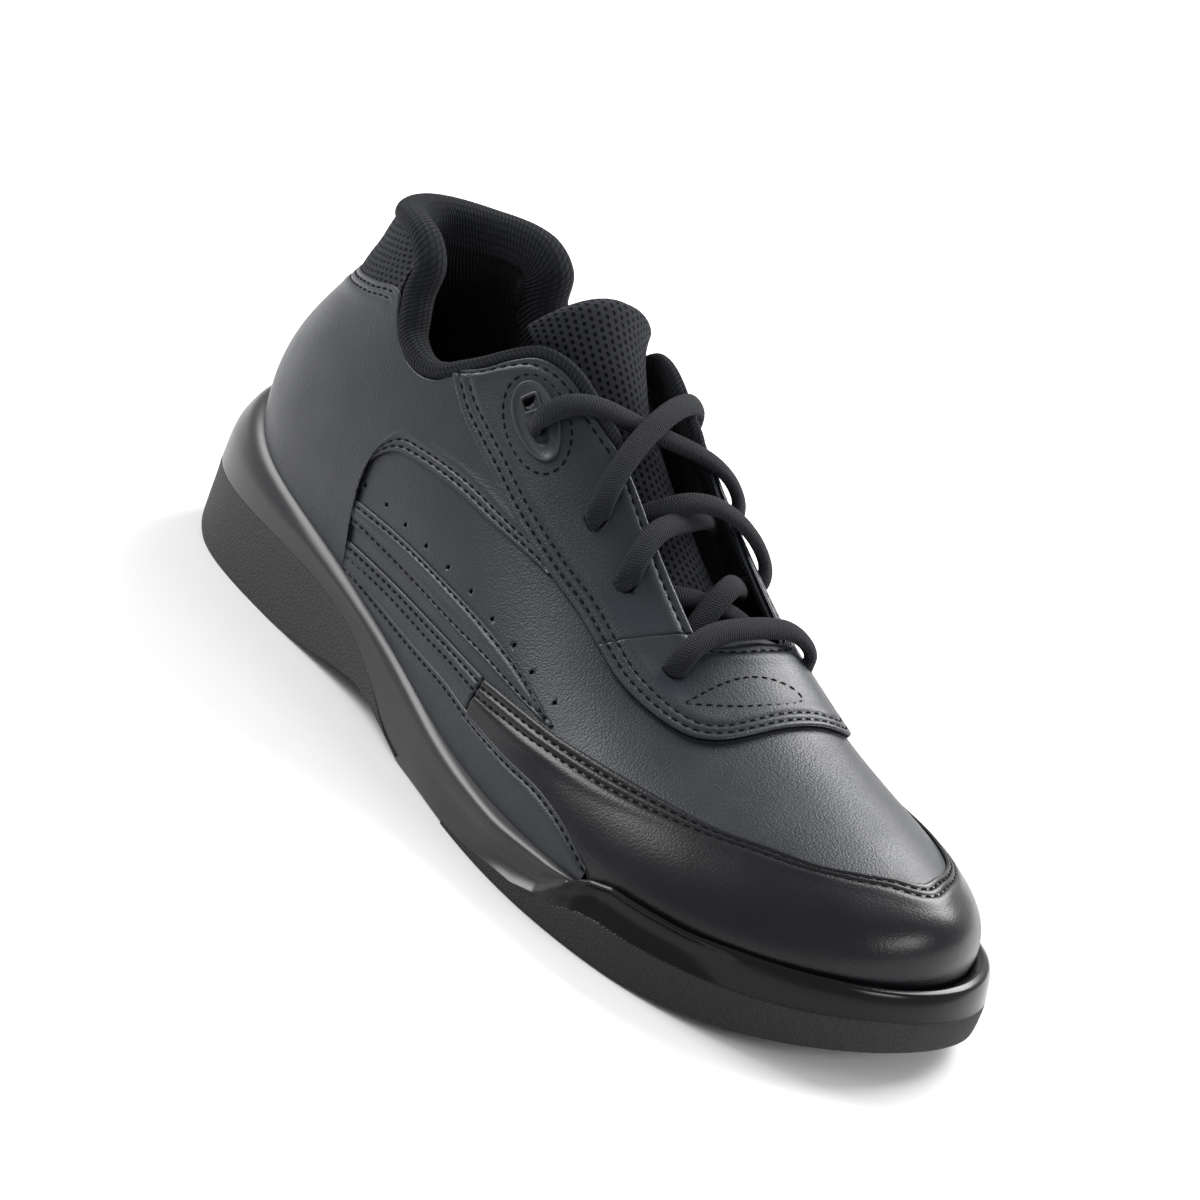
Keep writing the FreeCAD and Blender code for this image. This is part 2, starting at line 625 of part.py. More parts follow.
hole_radius = size("eyelet_radius")
SPOTS = {"lateral": lambda spots: spots, "medial": lambda spots: [(ROUND - s, h) for s, h in spots]}
drills = {}
for side_name, turn in SPOTS.items():
    drills[side_name] = tool("eyelet_drill_" + side_name, drill(turn(EYELETS + [SLOT]), hole_radius + 0.3))
saddle_drill = tool("eyelet_drill_saddle",
                    drill([EYELETS[2], (ROUND - EYELETS[2][0], EYELETS[2][1])], hole_radius + 0.3))

for side_name, turn in (("lateral", lambda e: e), ("medial", mirrored)):
    blank = feature("eyestay_" + side_name, patch(turn(REAR_SEAM), turn(STAY_TOP), *over_depth, columns=30))
    cut("eyestay_" + side_name, blank, drills[side_name])

saddle_blank = feature("throat_saddle", patch(
    SADDLE_LOW + [(s, 2 - h) for s, h in reversed(SADDLE_LOW[:-1])],
    SADDLE_HIGH + [(s, 2 - h) for s, h in reversed(SADDLE_HIGH[:-1])],
    *over_depth, place=over, columns=40, rows=6))
cut("throat_saddle", saddle_blank, saddle_drill)

# ------------------------------------------------------------------ upper: base leather
PANEL_TOP = [(3.05, 0.44), (3.6, 0.46), (4.5, 0.455), (5.2, 0.470), (5.8, 0.495), (6.40, 0.53)]
pair("side_panel", level(PANEL_TOP, TUCK), PANEL_TOP, base_depth, columns=30, rows=8)
VAMP_EDGE = [(6.44, 0.22), (7.1, 0.28), (7.9, 0.35), (8.83, 0.46), (9.33, 0.56), (9.9, 0.68), (10.5, 0.82)]
feature("vamp", patch(VAMP_EDGE, [(s, 2 - h) for s, h in VAMP_EDGE], *base_depth, place=over,
                      columns=22, rows=25))

# ------------------------------------------------------------------ upper: stiffeners and linings
stiff_depth = (2 * leather + 2 * gap, 2 * leather + 2 * gap + size("stiffener_thick"))
COUNTER = [(-3.0, 0.20), (-2.2, 0.41), (-1.0, 0.53), (0, 0.56), (1.0, 0.53), (2.2, 0.41), (3.0, 0.20)]
feature("heel_counter", patch(level(COUNTER, TUCK), COUNTER, *stiff_depth))
PUFF = [(8.1, 0.12), (8.7, 0.36), (9.6, 0.58), (10.4, 0.72), (11, 0.76)]
PUFF_LOW = [(8.1, TUCK), (9.5, TUCK), (11, TUCK)]
feature("toe_puff", patch(PUFF_LOW + mirrored(PUFF_LOW)[1:], PUFF + mirrored(PUFF)[1:], *stiff_depth,
                          columns=36))

LINING_TOP = ([(s, h - 0.012) for s, h in COLLAR[:-1]] + [(3.60, 0.648), (3.80, 0.715), (3.98, 0.785),
              (4.18, 0.830), (4.38, 0.833), (4.60, 0.812), (4.93, 0.810), (5.50, 0.774), (5.93, 0.745),
              (6.38, 0.735)])
padding = size("padding_depth")
LACE_ROOM = 0.95                    # from the eyestay to the lining behind it


def bulge(station, share):
    """How far the collar foam pushes the lining in: most under the rim, none low down or at the front."""
    rise = min(max((share - 0.45) / 0.45, 0), 1)
    fade = min(max((3.75 - abs(station if station < TOE else station - ROUND)) / 0.6, 0), 1)
    return padding * rise * rise * (3 - 2 * rise) * fade * fade * (3 - 2 * fade)


def lining_face(station, height, share):
    """The depth of the lining's outer face: close behind the leather along the eyestay, where there is no
    base leather or stiffener between them."""
    place = station if station < TOE else ROUND - station
    up = min(max((height - 0.55) / 0.10, 0), 1) * min(max((abs(place) - 3.5) / 0.5, 0), 1)
    up = up * up * (3 - 2 * up)
    return LINING_DEPTH * (1 - up) + (leather + LACE_ROOM) * up + bulge(station, share) * (1 - up)


whole_lining = [(-s, h) for s, h in reversed(LINING_TOP[1:])] + LINING_TOP
lining_blank = feature("lining_quarters", patch(
    level(whole_lining, TUCK), whole_lining,
    lining_face, lambda s, h, share: lining_face(s, h, share) + lining, columns=96, rows=18))
cut("lining_quarters", lining_blank, drills["lateral"], drills["medial"])
TOE_STOP = 10.55
feature("lining_vamp", patch([(6.42, TUCK), (8, TUCK), (TOE_STOP, TUCK)],
                             [(6.42, 2 - TUCK), (8, 2 - TUCK), (TOE_STOP, 2 - TUCK)],
                             LINING_DEPTH, LINING_DEPTH + lining, place=over, columns=20, rows=41))

pad_outer = LINING_DEPTH - gap - 0.9
PADDING_SIDE = [(s, h - 0.03) for s, h in LINING_TOP[:10]]
PADDING_TOP = [(-s, h) for s, h in reversed(PADDING_SIDE[1:])] + PADDING_SIDE
PADDING_START = 0.62                # where the foam starts, as a share of its top edge's height
PADDING_LOW = [(s, PADDING_START * h) for s, h in PADDING_TOP]


def padding_inner(station, height, share):
    """The foam's inner face, just behind the lining at the same height."""
    whole = (PADDING_START + (1 - PADDING_START) * share) * 0.97
    return max(LINING_DEPTH + bulge(station, whole) - 2 * gap, pad_outer + 0.4)


feature("collar_padding", patch(PADDING_LOW, PADDING_TOP, pad_outer, padding_inner, columns=60, rows=9))
RIM_LOW = [(-s, h) for s, h in reversed(COLLAR[1:])] + COLLAR
RIM_TOP = [(s, h + 0.085) for s, h in RIM_LOW]
rim_depth = size("collar_depth")
feature("collar_rim", patch(RIM_LOW, RIM_TOP, -0.3, lambda s, h, share: rim_depth, columns=60, rows=5))

# ------------------------------------------------------------------ tongue
# The tongue's middle line from base to tip (x, z), with its half width and how far its edges drop.
TONGUE = [(64, 47, 16.4, 5), (36, 62, 16.9, 9), (8, 79, 16.9, 12), (-16, 97.5, 15.9, 15), (-38, 120.5, 23.6, 9)]
TONGUE_LEAN = 4.6                   # how far the tip leans over to the outside of the foot


def tongue_point(share, across, depth):
    """A point of the tongue: share 0 at the base to 1 at the tip, across -1 to 1, depth under its face."""
    line = smooth([(x, z) for x, z, _, _ in TONGUE])
    shape = smooth([(half, drop) for _, _, half, drop in TONGUE])
    x, z = line(share)
    ahead, behind = line(min(share + 0.01, 1)), line(max(share - 0.01, 0))
    run = V(ahead[0] - behind[0], 0, ahead[1] - behind[1]).normalize()
    outward = V(run.z, 0, -run.x)
    half, drop = shape(share)
    middle = 5.6 - TONGUE_LEAN * share * share
    lean = math.atan(2 * drop * across / half)
    away = outward * math.cos(lean) + V(0, 1, 0) * math.sin(lean)
    tip = 6 * (max(share - 0.85, 0) / 0.15) ** 2 * across * across
    return (CENTRE + V(x, middle + half * across, z) - outward * (drop * across * across) - run * tip
            - away * depth)


def tongue_layer(label, outer, inner):
    def grid(depth):
        return [[tongue_point(i / 20, -1 + j / 6, depth) for j in range(13)] for i in range(21)]
    return feature(label, slab(grid(outer), grid(inner)))


face_thick, foam_thick = size("tongue_face_thick"), size("tongue_foam_thick")
tongue_layer("tongue_face", 0, face_thick)
tongue_layer("tongue_foam", face_thick + gap, face_thick + gap + foam_thick)
tongue_layer("tongue_lining", face_thick + 2 * gap + foam_thick, 2 * face_thick + 2 * gap + foam_thick)

# ------------------------------------------------------------------ eyelet plates
for side_name, turn in SPOTS.items():
    (station, height), = turn([PLATE])
    (low_station, low_height), (high_station, high_height) = turn([SLOT, HOLE])
    middle = side(station, height, -gap)
    outward = (side(station, height, -2) - side(station, height, 0)).normalize()
    run = (side(low_station, low_height, 0) - side(high_station, high_height, 0)).normalize()
    run = (run - outward * run.dot(outward)).normalize()
    across = outward.cross(run)
    half = size("plate_width") / 2
    straight = size("plate_length") / 2 - half
    corners = [middle + run * a + across * b for a, b in
               ((-straight, -half), (straight, -half), (straight, half), (-straight, half))]
    tips = [middle + run * (straight + half), middle - run * (straight + half)]
    outline = Part.Wire([Part.makeLine(corners[0], corners[1]),
                         Part.Arc(corners[1], tips[0], corners[2]).toShape(),
                         Part.makeLine(corners[2], corners[3]),
                         Part.Arc(corners[3], tips[1], corners[0]).toShape()])
    plate = tool("plate_blank_" + side_name, Part.Face(outline).extrude(outward * size("plate_thick")))
    holes = tool("plate_holes_" + side_name,
                 drill([(low_station, low_height), (high_station, high_height)], hole_radius + 0.2))
    cut("eyelet_plate_" + side_name, plate, holes)

# ------------------------------------------------------------------ lace
# One lace, from the end tucked in along the outside of the foot to the end tucked in along the inside.
LACE_ROUTE = [
    # the end tucked in along the outside
    (47.6, -30.1, 37), (33.4, -30, 39.9), (19.2, -28.4, 44.8), (4.3, -25.8, 51.9), (-11.2, -22.5, 61.6),
    (-23, -18.8, 72.8),
    # out of the outer plate's slot, across, and in at the second eyelet inside
    (-27.4, -16.2, 84.3), (-23.2, -24.1, 91.3), (-18.4, -14.7, 100.6), (-9.6, 4.9, 95.8),
    (-0.2, 24.3, 92.4), (6, 32.1, 81.6), (3.6, 23.4, 75.6),
    # up through the throat, across, and in at the third eyelet outside
    (8.2, 17, 81.2), (12.2, 5, 81.8), (15.9, -8.4, 80.8), (22.2, -18.1, 70.6), (19, -12.7, 63.3),
    # across under the eyestays and out at the fourth eyelet inside
    (23.8, -4.7, 67.2), (31.6, 8, 68), (37.6, 20, 62.9), (45.5, 25.5, 54.2), (48.2, 31.8, 61.6),
    # the bottom bar, in at the fourth eyelet outside
    (45.4, 23.5, 68.8), (45, 9.5, 69.4), (44.8, -6.5, 67.4), (47.5, -16.7, 60.2), (44.5, -11.9, 51.9),
    # across under the eyestays and out at the third eyelet inside
    (36.6, -4.5, 61), (31.6, 8.5, 74), (26.2, 18.1, 71), (20.8, 24.5, 66.1), (23.2, 31.8, 72),
    # across, down into the throat, and out at the second eyelet outside
    (16.8, 24.3, 83), (11.6, 9, 88.6), (6.2, -4.9, 79.6), (1.6, -12.7, 72.8), (5.4, -19.5, 79.4),
    # across, and in at the inner plate's slot
    (-1.4, -9.9, 92.4), (-9.6, 7.5, 102.6), (-18.4, 26.1, 101.6), (-23.2, 32.5, 91.6),
    (-25.8, 24.5, 87.2),
    # the end tucked in along the inside
    (-21.7, 25.3, 75.9), (-9.4, 26.1, 64.5), (6.4, 28.5, 55.3), (21.3, 30.7, 48.6), (35.4, 32.7, 43.8),
    (49.1, 33.3, 40.6),
]
ARC_SHARE = 0.45                    # how much of the shorter run beside a corner its arc takes


def rounded_path(points):
    """Straight runs joined by tangent arcs, as one wire, with the radius of each arc."""
    edges, radii = [], []
    start = points[0]
    for before, corner, after in zip(points, points[1:], points[2:]):
        back, on = before - corner, after - corner
        reach = ARC_SHARE * min(back.Length, on.Length)
        half_turn = (math.pi - back.getAngle(on)) / 2
        radius = reach / math.tan(half_turn)
        back.normalize()
        on.normalize()
        middle = corner + (back + on).normalize() * (radius / math.cos(half_turn) - radius)
        arc_start, arc_end = corner + back * reach, corner + on * reach
        edges.append(Part.LineSegment(start, arc_start).toShape())
        edges.append(Part.Arc(arc_start, middle, arc_end).toShape())
        radii.append(radius)
        start = arc_end
    edges.append(Part.LineSegment(start, points[-1]).toShape())
    return Part.Wire(edges), radii


lace_points = [V(*point) for point in LACE_ROUTE]
lace_path, lace_radii = rounded_path(lace_points)
lace_radius = size("lace_thick") / 2
section = Part.Wire(Part.makeCircle(lace_radius, lace_points[0], lace_points[1] - lace_points[0]))
lace = lace_path.makePipeShell([section], True, False)
print("lace: %.0f mm long, arc radii %s" % (lace_path.Length, ["%.0f" % radius for radius in lace_radii]))
print("lace: volume %.0f, section times length %.0f"
      % (lace.Volume, math.pi * lace_radius ** 2 * lace_path.Length))
feature("lace", lace)

aglets = doc.addObject("Part::Compound", "lace_aglets")
aglet_pieces = []
for name, end, before in (("outer", lace_points[0], lace_points[1]), ("inner", lace_points[-1], lace_points[-2])):
    aglet = doc.addObject("Part::Cylinder", "aglet_" + name)
    aglet.setExpression("Radius", "sheet.aglet_thick / 2")
    aglet.setExpression("Height", "sheet.aglet_length")
    aglet.Placement = FreeCAD.Placement(end, FreeCAD.Rotation(V(0, 0, 1), end - before))
    aglet_pieces.append(aglet)
aglets.Links = aglet_pieces
aglets.Placement = FreeCAD.Placement()
node(aglets, "lace_aglets")

doc.recompute()
for obj in doc.Objects:
    if "Invalid" in obj.State or "Error" in obj.State:
        raise RuntimeError("%s failed: %s" % (obj.Name, obj.State))
for obj in NODES:
    if obj.Shape.isNull() or not obj.Shape.isValid() or not obj.Shape.Solids:
        raise RuntimeError("%s has no valid solid" % obj.Label)
    obj.Shape.exportStep("parts/%s.step" % obj.Label)
whole = Part.makeCompound([obj.Shape for obj in NODES]).BoundBox
print("%d nodes, box x %.1f to %.1f, y %.1f to %.1f, z %.1f to %.1f" % (
    len(NODES), whole.XMin, whole.XMax, whole.YMin, whole.YMax, whole.ZMin, whole.ZMax))
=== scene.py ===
"""Looks of the bowling shoe (right foot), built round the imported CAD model.

The upper lies on one smooth "shell".  A place on it is (station, height): station runs from 0 at the heel
through 5 at the outer waist to 11 at the toe and on to 22 at the heel again; height runs from 0 at the
feather line, where the upper meets the sole, to 1 at the top line.  Over the instep, heights 1 to 2 come
down the inside.  Sizes are millimetres until a mesh is made, in metres.
"""
import math

import bmesh
import bpy
import numpy as np
from mathutils import Matrix, Vector
from mathutils.geometry import convex_hull_2d


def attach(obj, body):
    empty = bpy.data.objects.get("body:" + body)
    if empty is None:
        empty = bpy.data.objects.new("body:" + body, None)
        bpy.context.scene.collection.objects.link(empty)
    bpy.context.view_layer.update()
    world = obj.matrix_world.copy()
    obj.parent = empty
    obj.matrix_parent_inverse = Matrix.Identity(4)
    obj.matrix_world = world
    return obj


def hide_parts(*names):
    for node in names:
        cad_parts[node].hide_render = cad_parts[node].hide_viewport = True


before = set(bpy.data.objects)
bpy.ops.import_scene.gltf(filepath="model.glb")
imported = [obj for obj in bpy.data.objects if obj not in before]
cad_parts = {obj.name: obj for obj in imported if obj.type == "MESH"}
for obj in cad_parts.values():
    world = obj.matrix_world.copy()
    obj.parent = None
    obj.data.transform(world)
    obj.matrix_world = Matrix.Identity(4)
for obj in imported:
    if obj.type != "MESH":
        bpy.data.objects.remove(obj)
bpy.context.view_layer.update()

MM = 0.001

# ------------------------------------------------------------------ the shell
# Heel to toe: the feather line (x, half width outside, half width inside, z), the top line (x, half width,
# middle y, z), rise and lean at the feather line, reach from the top line and its tilt outside and inside.
STATIONS = [
    (-140, 0, 0, 45, -119, 0, 0, 108, 28, 6, 22, 88, 88),
    (-133, 18, 18, 43, -113, 14, 0, 108, 28, 6, 22, 88, 88),
    (-112, 32, 31, 34, -98, 25, 0, 109, 32, 6, 22, 90, 90),
    (-75, 35, 32, 29, -70, 29, 0, 112, 34, 5, 24, 90, 90),
    (-35, 38, 31, 22, -36, 20, 2, 120, 38, 5, 24, 78, 78),
    (5, 46, 36, 14, -2, 4, 5, 101, 38, 4, 24, 46, 34),
    (42, 53, 44, 13, 34, 0, 7, 74, 29, 3, 24, 30, 16),
    (75, 54, 48, 14, 66, 0, 8, 58, 25, 3, 24, 19, 12),
    (103, 49, 48, 16, 93, 0, 7, 53, 23, 4, 21, 12, 12),
    (126, 36, 39, 18, 114, 0, 6, 49, 21, 5, 18, 10, 12),
    (140, 17, 21, 19, 125, 0, 5, 46, 20, 6, 14, 10, 12),
    (144, -3, 3, 20, 128, 0, 4, 45, 20, 6, 14, 12, 12),
]
FOOTPRINT = [
    (-148, 0, 0), (-142, 20, 19), (-118, 35, 33), (-80, 38, 34), (-35, 40, 31), (8, 50, 38), (45, 58, 47),
    (78, 58, 53), (106, 52, 53), (131, 38, 44), (146, 18, 27), (151, -5, 5),
]
CENTRE = np.array([-1.4, 2.5, 0.0])
ROUND = 2 * (len(STATIONS) - 1)
TOE = len(STATIONS) - 1
CROWN = 0.24                # share of the height, each side of the ridge, that one crown rounds off
TUCK = -0.03                # height at which the upper's pieces end, inside the sole's rim


def both_sides(rows, make):
    """One closed loop of rows: down the outside from the heel to the toe, back along the inside."""
    return np.array([make(row, -1) for row in rows] + [make(row, 1) for row in reversed(rows[1:-1])])


def wall_section(row, sign):
    """The four control points that one side of the upper rises through at a station."""
    x, outer, inner, z, x_top, half_top, y_top, z_top, rise, lean, reach, tilt_out, tilt_in = row
    foot = CENTRE + (x, sign * (outer if sign < 0 else inner), z)
    top = CENTRE + (x_top, y_top + sign * half_top, z_top)
    away = (foot - top) * (1, 1, 0)
    away /= np.linalg.norm(away)
    angle = math.radians(tilt_out if sign < 0 else tilt_in)
    low = foot + away * lean + (0, 0, rise)
    high = top + away * reach * math.cos(angle) - (0, 0, reach * math.sin(angle))
    return foot, low, high, top


WALL = both_sides(STATIONS, wall_section)
SOLE_EDGE = both_sides(FOOTPRINT, lambda row, sign: CENTRE + (row[0], sign * row[1 if sign < 0 else 2], 0))


def along(loop, station):
    """Points of the closed cubic B-spline whose control points are the loop."""
    station = np.asarray(station, float)
    first = np.floor(station).astype(int)
    u = station - first
    weights = ((1 - u) ** 3 / 6, (3 * u ** 3 - 6 * u * u + 4) / 6,
               (-3 * u ** 3 + 3 * u * u + 3 * u + 1) / 6, u ** 3 / 6)
    wide = (Ellipsis,) + (None,) * (loop.ndim - 1)
    return sum(loop[(first - 1 + i) % len(loop)] * weight[wide] for i, weight in enumerate(weights))


def shell(station, height):
    """Points of one side of the shell, beyond its ends along its end tangents."""
    station, height = np.broadcast_arrays(np.asarray(station, float), np.asarray(height, float))
    foot, low, high, top = np.moveaxis(along(WALL, station), -2, 0)
    t = height[..., None]
    rest = 1 - t
    wall = foot * rest ** 3 + low * (3 * rest * rest * t) + high * (3 * rest * t * t) + top * t ** 3
    below, above = foot + (low - foot) * 3 * t, top + (top - high) * 3 * (t - 1)
    return np.where(t < 0, below, np.where(t > 1, above, wall))


def unit(vectors):
    """The vectors scaled to length 1."""
    return vectors / np.maximum(np.linalg.norm(vectors, axis=-1, keepdims=True), 1e-9)


def side(station, height, depth=0.0):
    """Points at a depth under one side of the shell."""
    step = 0.01
    round_it = shell(station + step, height) - shell(station - step, height)
    up_it = shell(station, height + step) - shell(station, height - step)
    return shell(station, height) - unit(np.cross(round_it, up_it)) * np.asarray(depth)[..., None]


def over(station, height, depth=0.0):
    """Points over the instep, with one smooth crown between the two sides."""
    station, height, depth = np.broadcast_arrays(*(np.asarray(a, float) for a in (station, height, depth)))
    far, edge, step = ROUND - station, 1 - CROWN, 0.01
    start, end = side(station, edge, depth), side(far, edge, depth)
    leave = (start - side(station, edge - step, depth)) * (2 * CROWN / step)
    arrive = (side(far, edge - step, depth) - end) * (2 * CROWN / step)
    u = ((height - edge) / (2 * CROWN))[..., None]
    crown = (start * (2 * u ** 3 - 3 * u * u + 1) + leave * (u ** 3 - 2 * u * u + u)
             + end * (3 * u * u - 2 * u ** 3) + arrive * (u ** 3 - u * u))
    near = side(station, np.minimum(height, edge), depth)
    away = side(far, np.minimum(2 - height, edge), depth)
    return np.where(u < 0, near, np.where(u > 1, away, crown))


def outward(place, station, height):
    """Unit normals of the shell, pointing out of the shoe."""
    return unit(place(station, height, -0.5) - place(station, height, 0.5))


def through(points, marks, t):
    """Points of a Catmull-Rom curve through the given points, which it passes at the marks."""
    points, marks, t = np.asarray(points, float), np.asarray(marks, float), np.atleast_1d(t)
    slopes = np.empty_like(points)
    slopes[1:-1] = (points[2:] - points[:-2]) / (marks[2:] - marks[:-2])[:, None]
    slopes[0] = (points[1] - points[0]) / (marks[1] - marks[0])
    slopes[-1] = (points[-1] - points[-2]) / (marks[-1] - marks[-2])
    low = np.clip(np.searchsorted(marks, t, side="right") - 1, 0, len(points) - 2)
    span = (marks[low + 1] - marks[low])[:, None]
    u = (t - marks[low])[:, None] / span
    return ((2 * u ** 3 - 3 * u * u + 1) * points[low] + (u ** 3 - 2 * u * u + u) * span * slopes[low]
            + (3 * u * u - 2 * u ** 3) * points[low + 1] + (u ** 3 - u * u) * span * slopes[low + 1])


def mirrored(points):
    """The same places on the inside of the shoe."""
    return [(ROUND - station, height) for station, height in points]


def smooth_step(t):
    """0 up to t = 0, 1 from t = 1 on, and an easy rise between them."""
    t = np.clip(t, 0, 1)
    return t * t * (3 - 2 * t)


def lengths(points):
    """Running length along a line of points."""
    return np.concatenate([[0], np.cumsum(np.linalg.norm(np.diff(points, axis=0), axis=1))])


def walked(at, run, points):
    """Points at the given lengths along a line whose running lengths are run."""
    return np.stack([np.interp(at, run, column) for column in points.T], axis=1)


def bulge(values, power):
    """A power of each value that keeps its sign."""
    return np.sign(values) * np.abs(values) ** power


def blurred(rows, reach):
    """Each column averaged over reach rows to either side."""
    many = 2 * reach + 1
    return np.stack([np.convolve(np.pad(column, reach, mode="edge"), np.ones(many) / many, "valid")
                     for column in rows.T], axis=1)


# ------------------------------------------------------------------ meshes
def mesh_object(name, points, faces, uv=None, smooth=True):
    """A new object from points in millimetres."""
    mesh = bpy.data.meshes.new(name)
    mesh.from_pydata((np.asarray(points) * MM).tolist(), [], [[int(v) for v in face] for face in faces])
    if uv is not None:
        layer = mesh.uv_layers.new(name="surface")
        corner = np.empty(len(mesh.loops), dtype=np.int32)
        mesh.loops.foreach_get("vertex_index", corner)
        layer.data.foreach_set("uv", np.asarray(uv, dtype=np.float32)[corner].ravel())
    mesh.polygons.foreach_set("use_smooth", [smooth] * len(mesh.polygons))
    mesh.update()
    obj = bpy.data.objects.new(name, mesh)
    bpy.context.scene.collection.objects.link(obj)
    return obj


def grid_uv(ahead, across):
    """Surface positions of a grid, from its positions along and across."""
    return np.stack(np.broadcast_arrays(ahead, across), axis=-1).reshape(-1, 2)


def grid_faces(columns, rows, first=0, wrap=False):
    """Quads of a grid of points stored column by column."""
    index = first + np.arange(columns * rows).reshape(columns, rows)
    if wrap:
        index = np.vstack([index, index[:1]])
    return np.stack([index[:-1, :-1], index[1:, :-1], index[1:, 1:], index[:-1, 1:]], axis=-1).reshape(-1, 4)


def slab(name, top, bottom, uv, wrap=False):
    """A closed piece between two grids of points, the top one facing out of the shoe."""
    columns, rows = top.shape[:2]
    count = columns * rows
    faces = [grid_faces(columns, rows, 0, wrap), grid_faces(columns, rows, count, wrap)[:, ::-1]]
    index = np.arange(count).reshape(columns, rows)
    rims = [index[:, 0][::-1], index[:, -1]]
    if wrap:
        rims = [np.append(rim, rim[0]) for rim in rims]
    else:
        rims += [index[0], index[-1][::-1]]
    for rim in rims:
        faces.append(np.stack([rim[:-1], rim[:-1] + count, rim[1:] + count, rim[1:]], axis=-1))
    faces = np.concatenate(faces)
    points = np.concatenate([top.reshape(-1, 3), bottom.reshape(-1, 3)])
    mid_u, mid_v = columns // 2, rows // 2
    step_u = top[mid_u, mid_v] - top[mid_u - 1, mid_v]
    step_v = top[mid_u, mid_v] - top[mid_u, mid_v - 1]
    if np.dot(np.cross(step_u, step_v), top[mid_u, mid_v] - bottom[mid_u, mid_v]) < 0:
        faces = faces[:, ::-1]
    return mesh_object(name, points, faces, np.tile(uv.reshape(-1, 2), (2, 1)))


def baked(obj):
    """Applies the object's modifiers to its mesh."""
    ready = bpy.data.meshes.new_from_object(obj.evaluated_get(bpy.context.evaluated_depsgraph_get()))
    obj.modifiers.clear()
    obj.data = ready
    return obj


def welded(obj, reach):
    """Joins the points of a piece that lie within reach of each other."""
    obj.modifiers.new("weld", "WELD").merge_threshold = reach * MM
    return baked(obj)


def thickened(obj, thick):
    """Gives a sheet its thickness, on the side it faces away from."""
    sheet = obj.modifiers.new("thickness", "SOLIDIFY")
    sheet.thickness, sheet.offset = thick * MM, -1
    return baked(obj)


def punch(obj, cutter):
    """Cuts holes in a piece and drops the cutter."""
    cut = obj.modifiers.new("holes", "BOOLEAN")
    cut.operation, cut.solver, cut.object = "DIFFERENCE", "EXACT", cutter
    baked(obj)
    bpy.data.objects.remove(cutter)
    return obj


def fix_normals(mesh):
    """Turns all faces outward."""
    work = bmesh.new()
    work.from_mesh(mesh)
    bmesh.ops.recalc_face_normals(work, faces=work.faces)
    work.to_mesh(mesh)
    work.free()


# ------------------------------------------------------------------ leather pieces
LEATHER = 1.5                       # visual thickness of one layer, set into the layer under it
EDGE_ROUND, EDGE_DROP = 0.8, 0.55   # rounded cut edge
GROOVE, GROOVE_WIDE = 0.32, 0.55    # a seam's groove
PUFF, PUFF_WIDE, PUFF_AWAY = 0.22, 1.6, 2.2     # the leather's swelling behind a seam
RIDGE_WIDE = 0.7                    # the ridge between the rows of a double seam
EDGE_STEPS = np.array([0, 0.1, 0.25, 0.45, 0.75, 1.1, 1.5, 1.9, 2.2, 2.5, 2.9, 3.5, 4.2, 4.6, 5.0, 5.4, 6.2])
CLOSE_SEAM, FAR_SEAM = 2.2, 4.7     # the two rows of a double seam, from the edge


def relief(distance, seams, sewn):
    """How far a finished edge and its seams sink the leather at a distance from the edge."""
    turn = np.clip(1 - distance / EDGE_ROUND, 0, 1)
    sink = 0.0
    for seam in seams:
        sink = sink + GROOVE * np.exp(-((distance - seam) / GROOVE_WIDE) ** 2)
    if len(seams) > 1:
        middle = (seams[0] + seams[1]) / 2
        sink = sink - 0.5 * PUFF * np.exp(-((distance - middle) / RIDGE_WIDE) ** 2)
    if seams:
        sink = sink - PUFF * np.exp(-((distance - seams[-1] - PUFF_AWAY) / PUFF_WIDE) ** 2)
    return EDGE_DROP * (1 - np.sqrt(1 - turn ** 2)) + sink * sewn


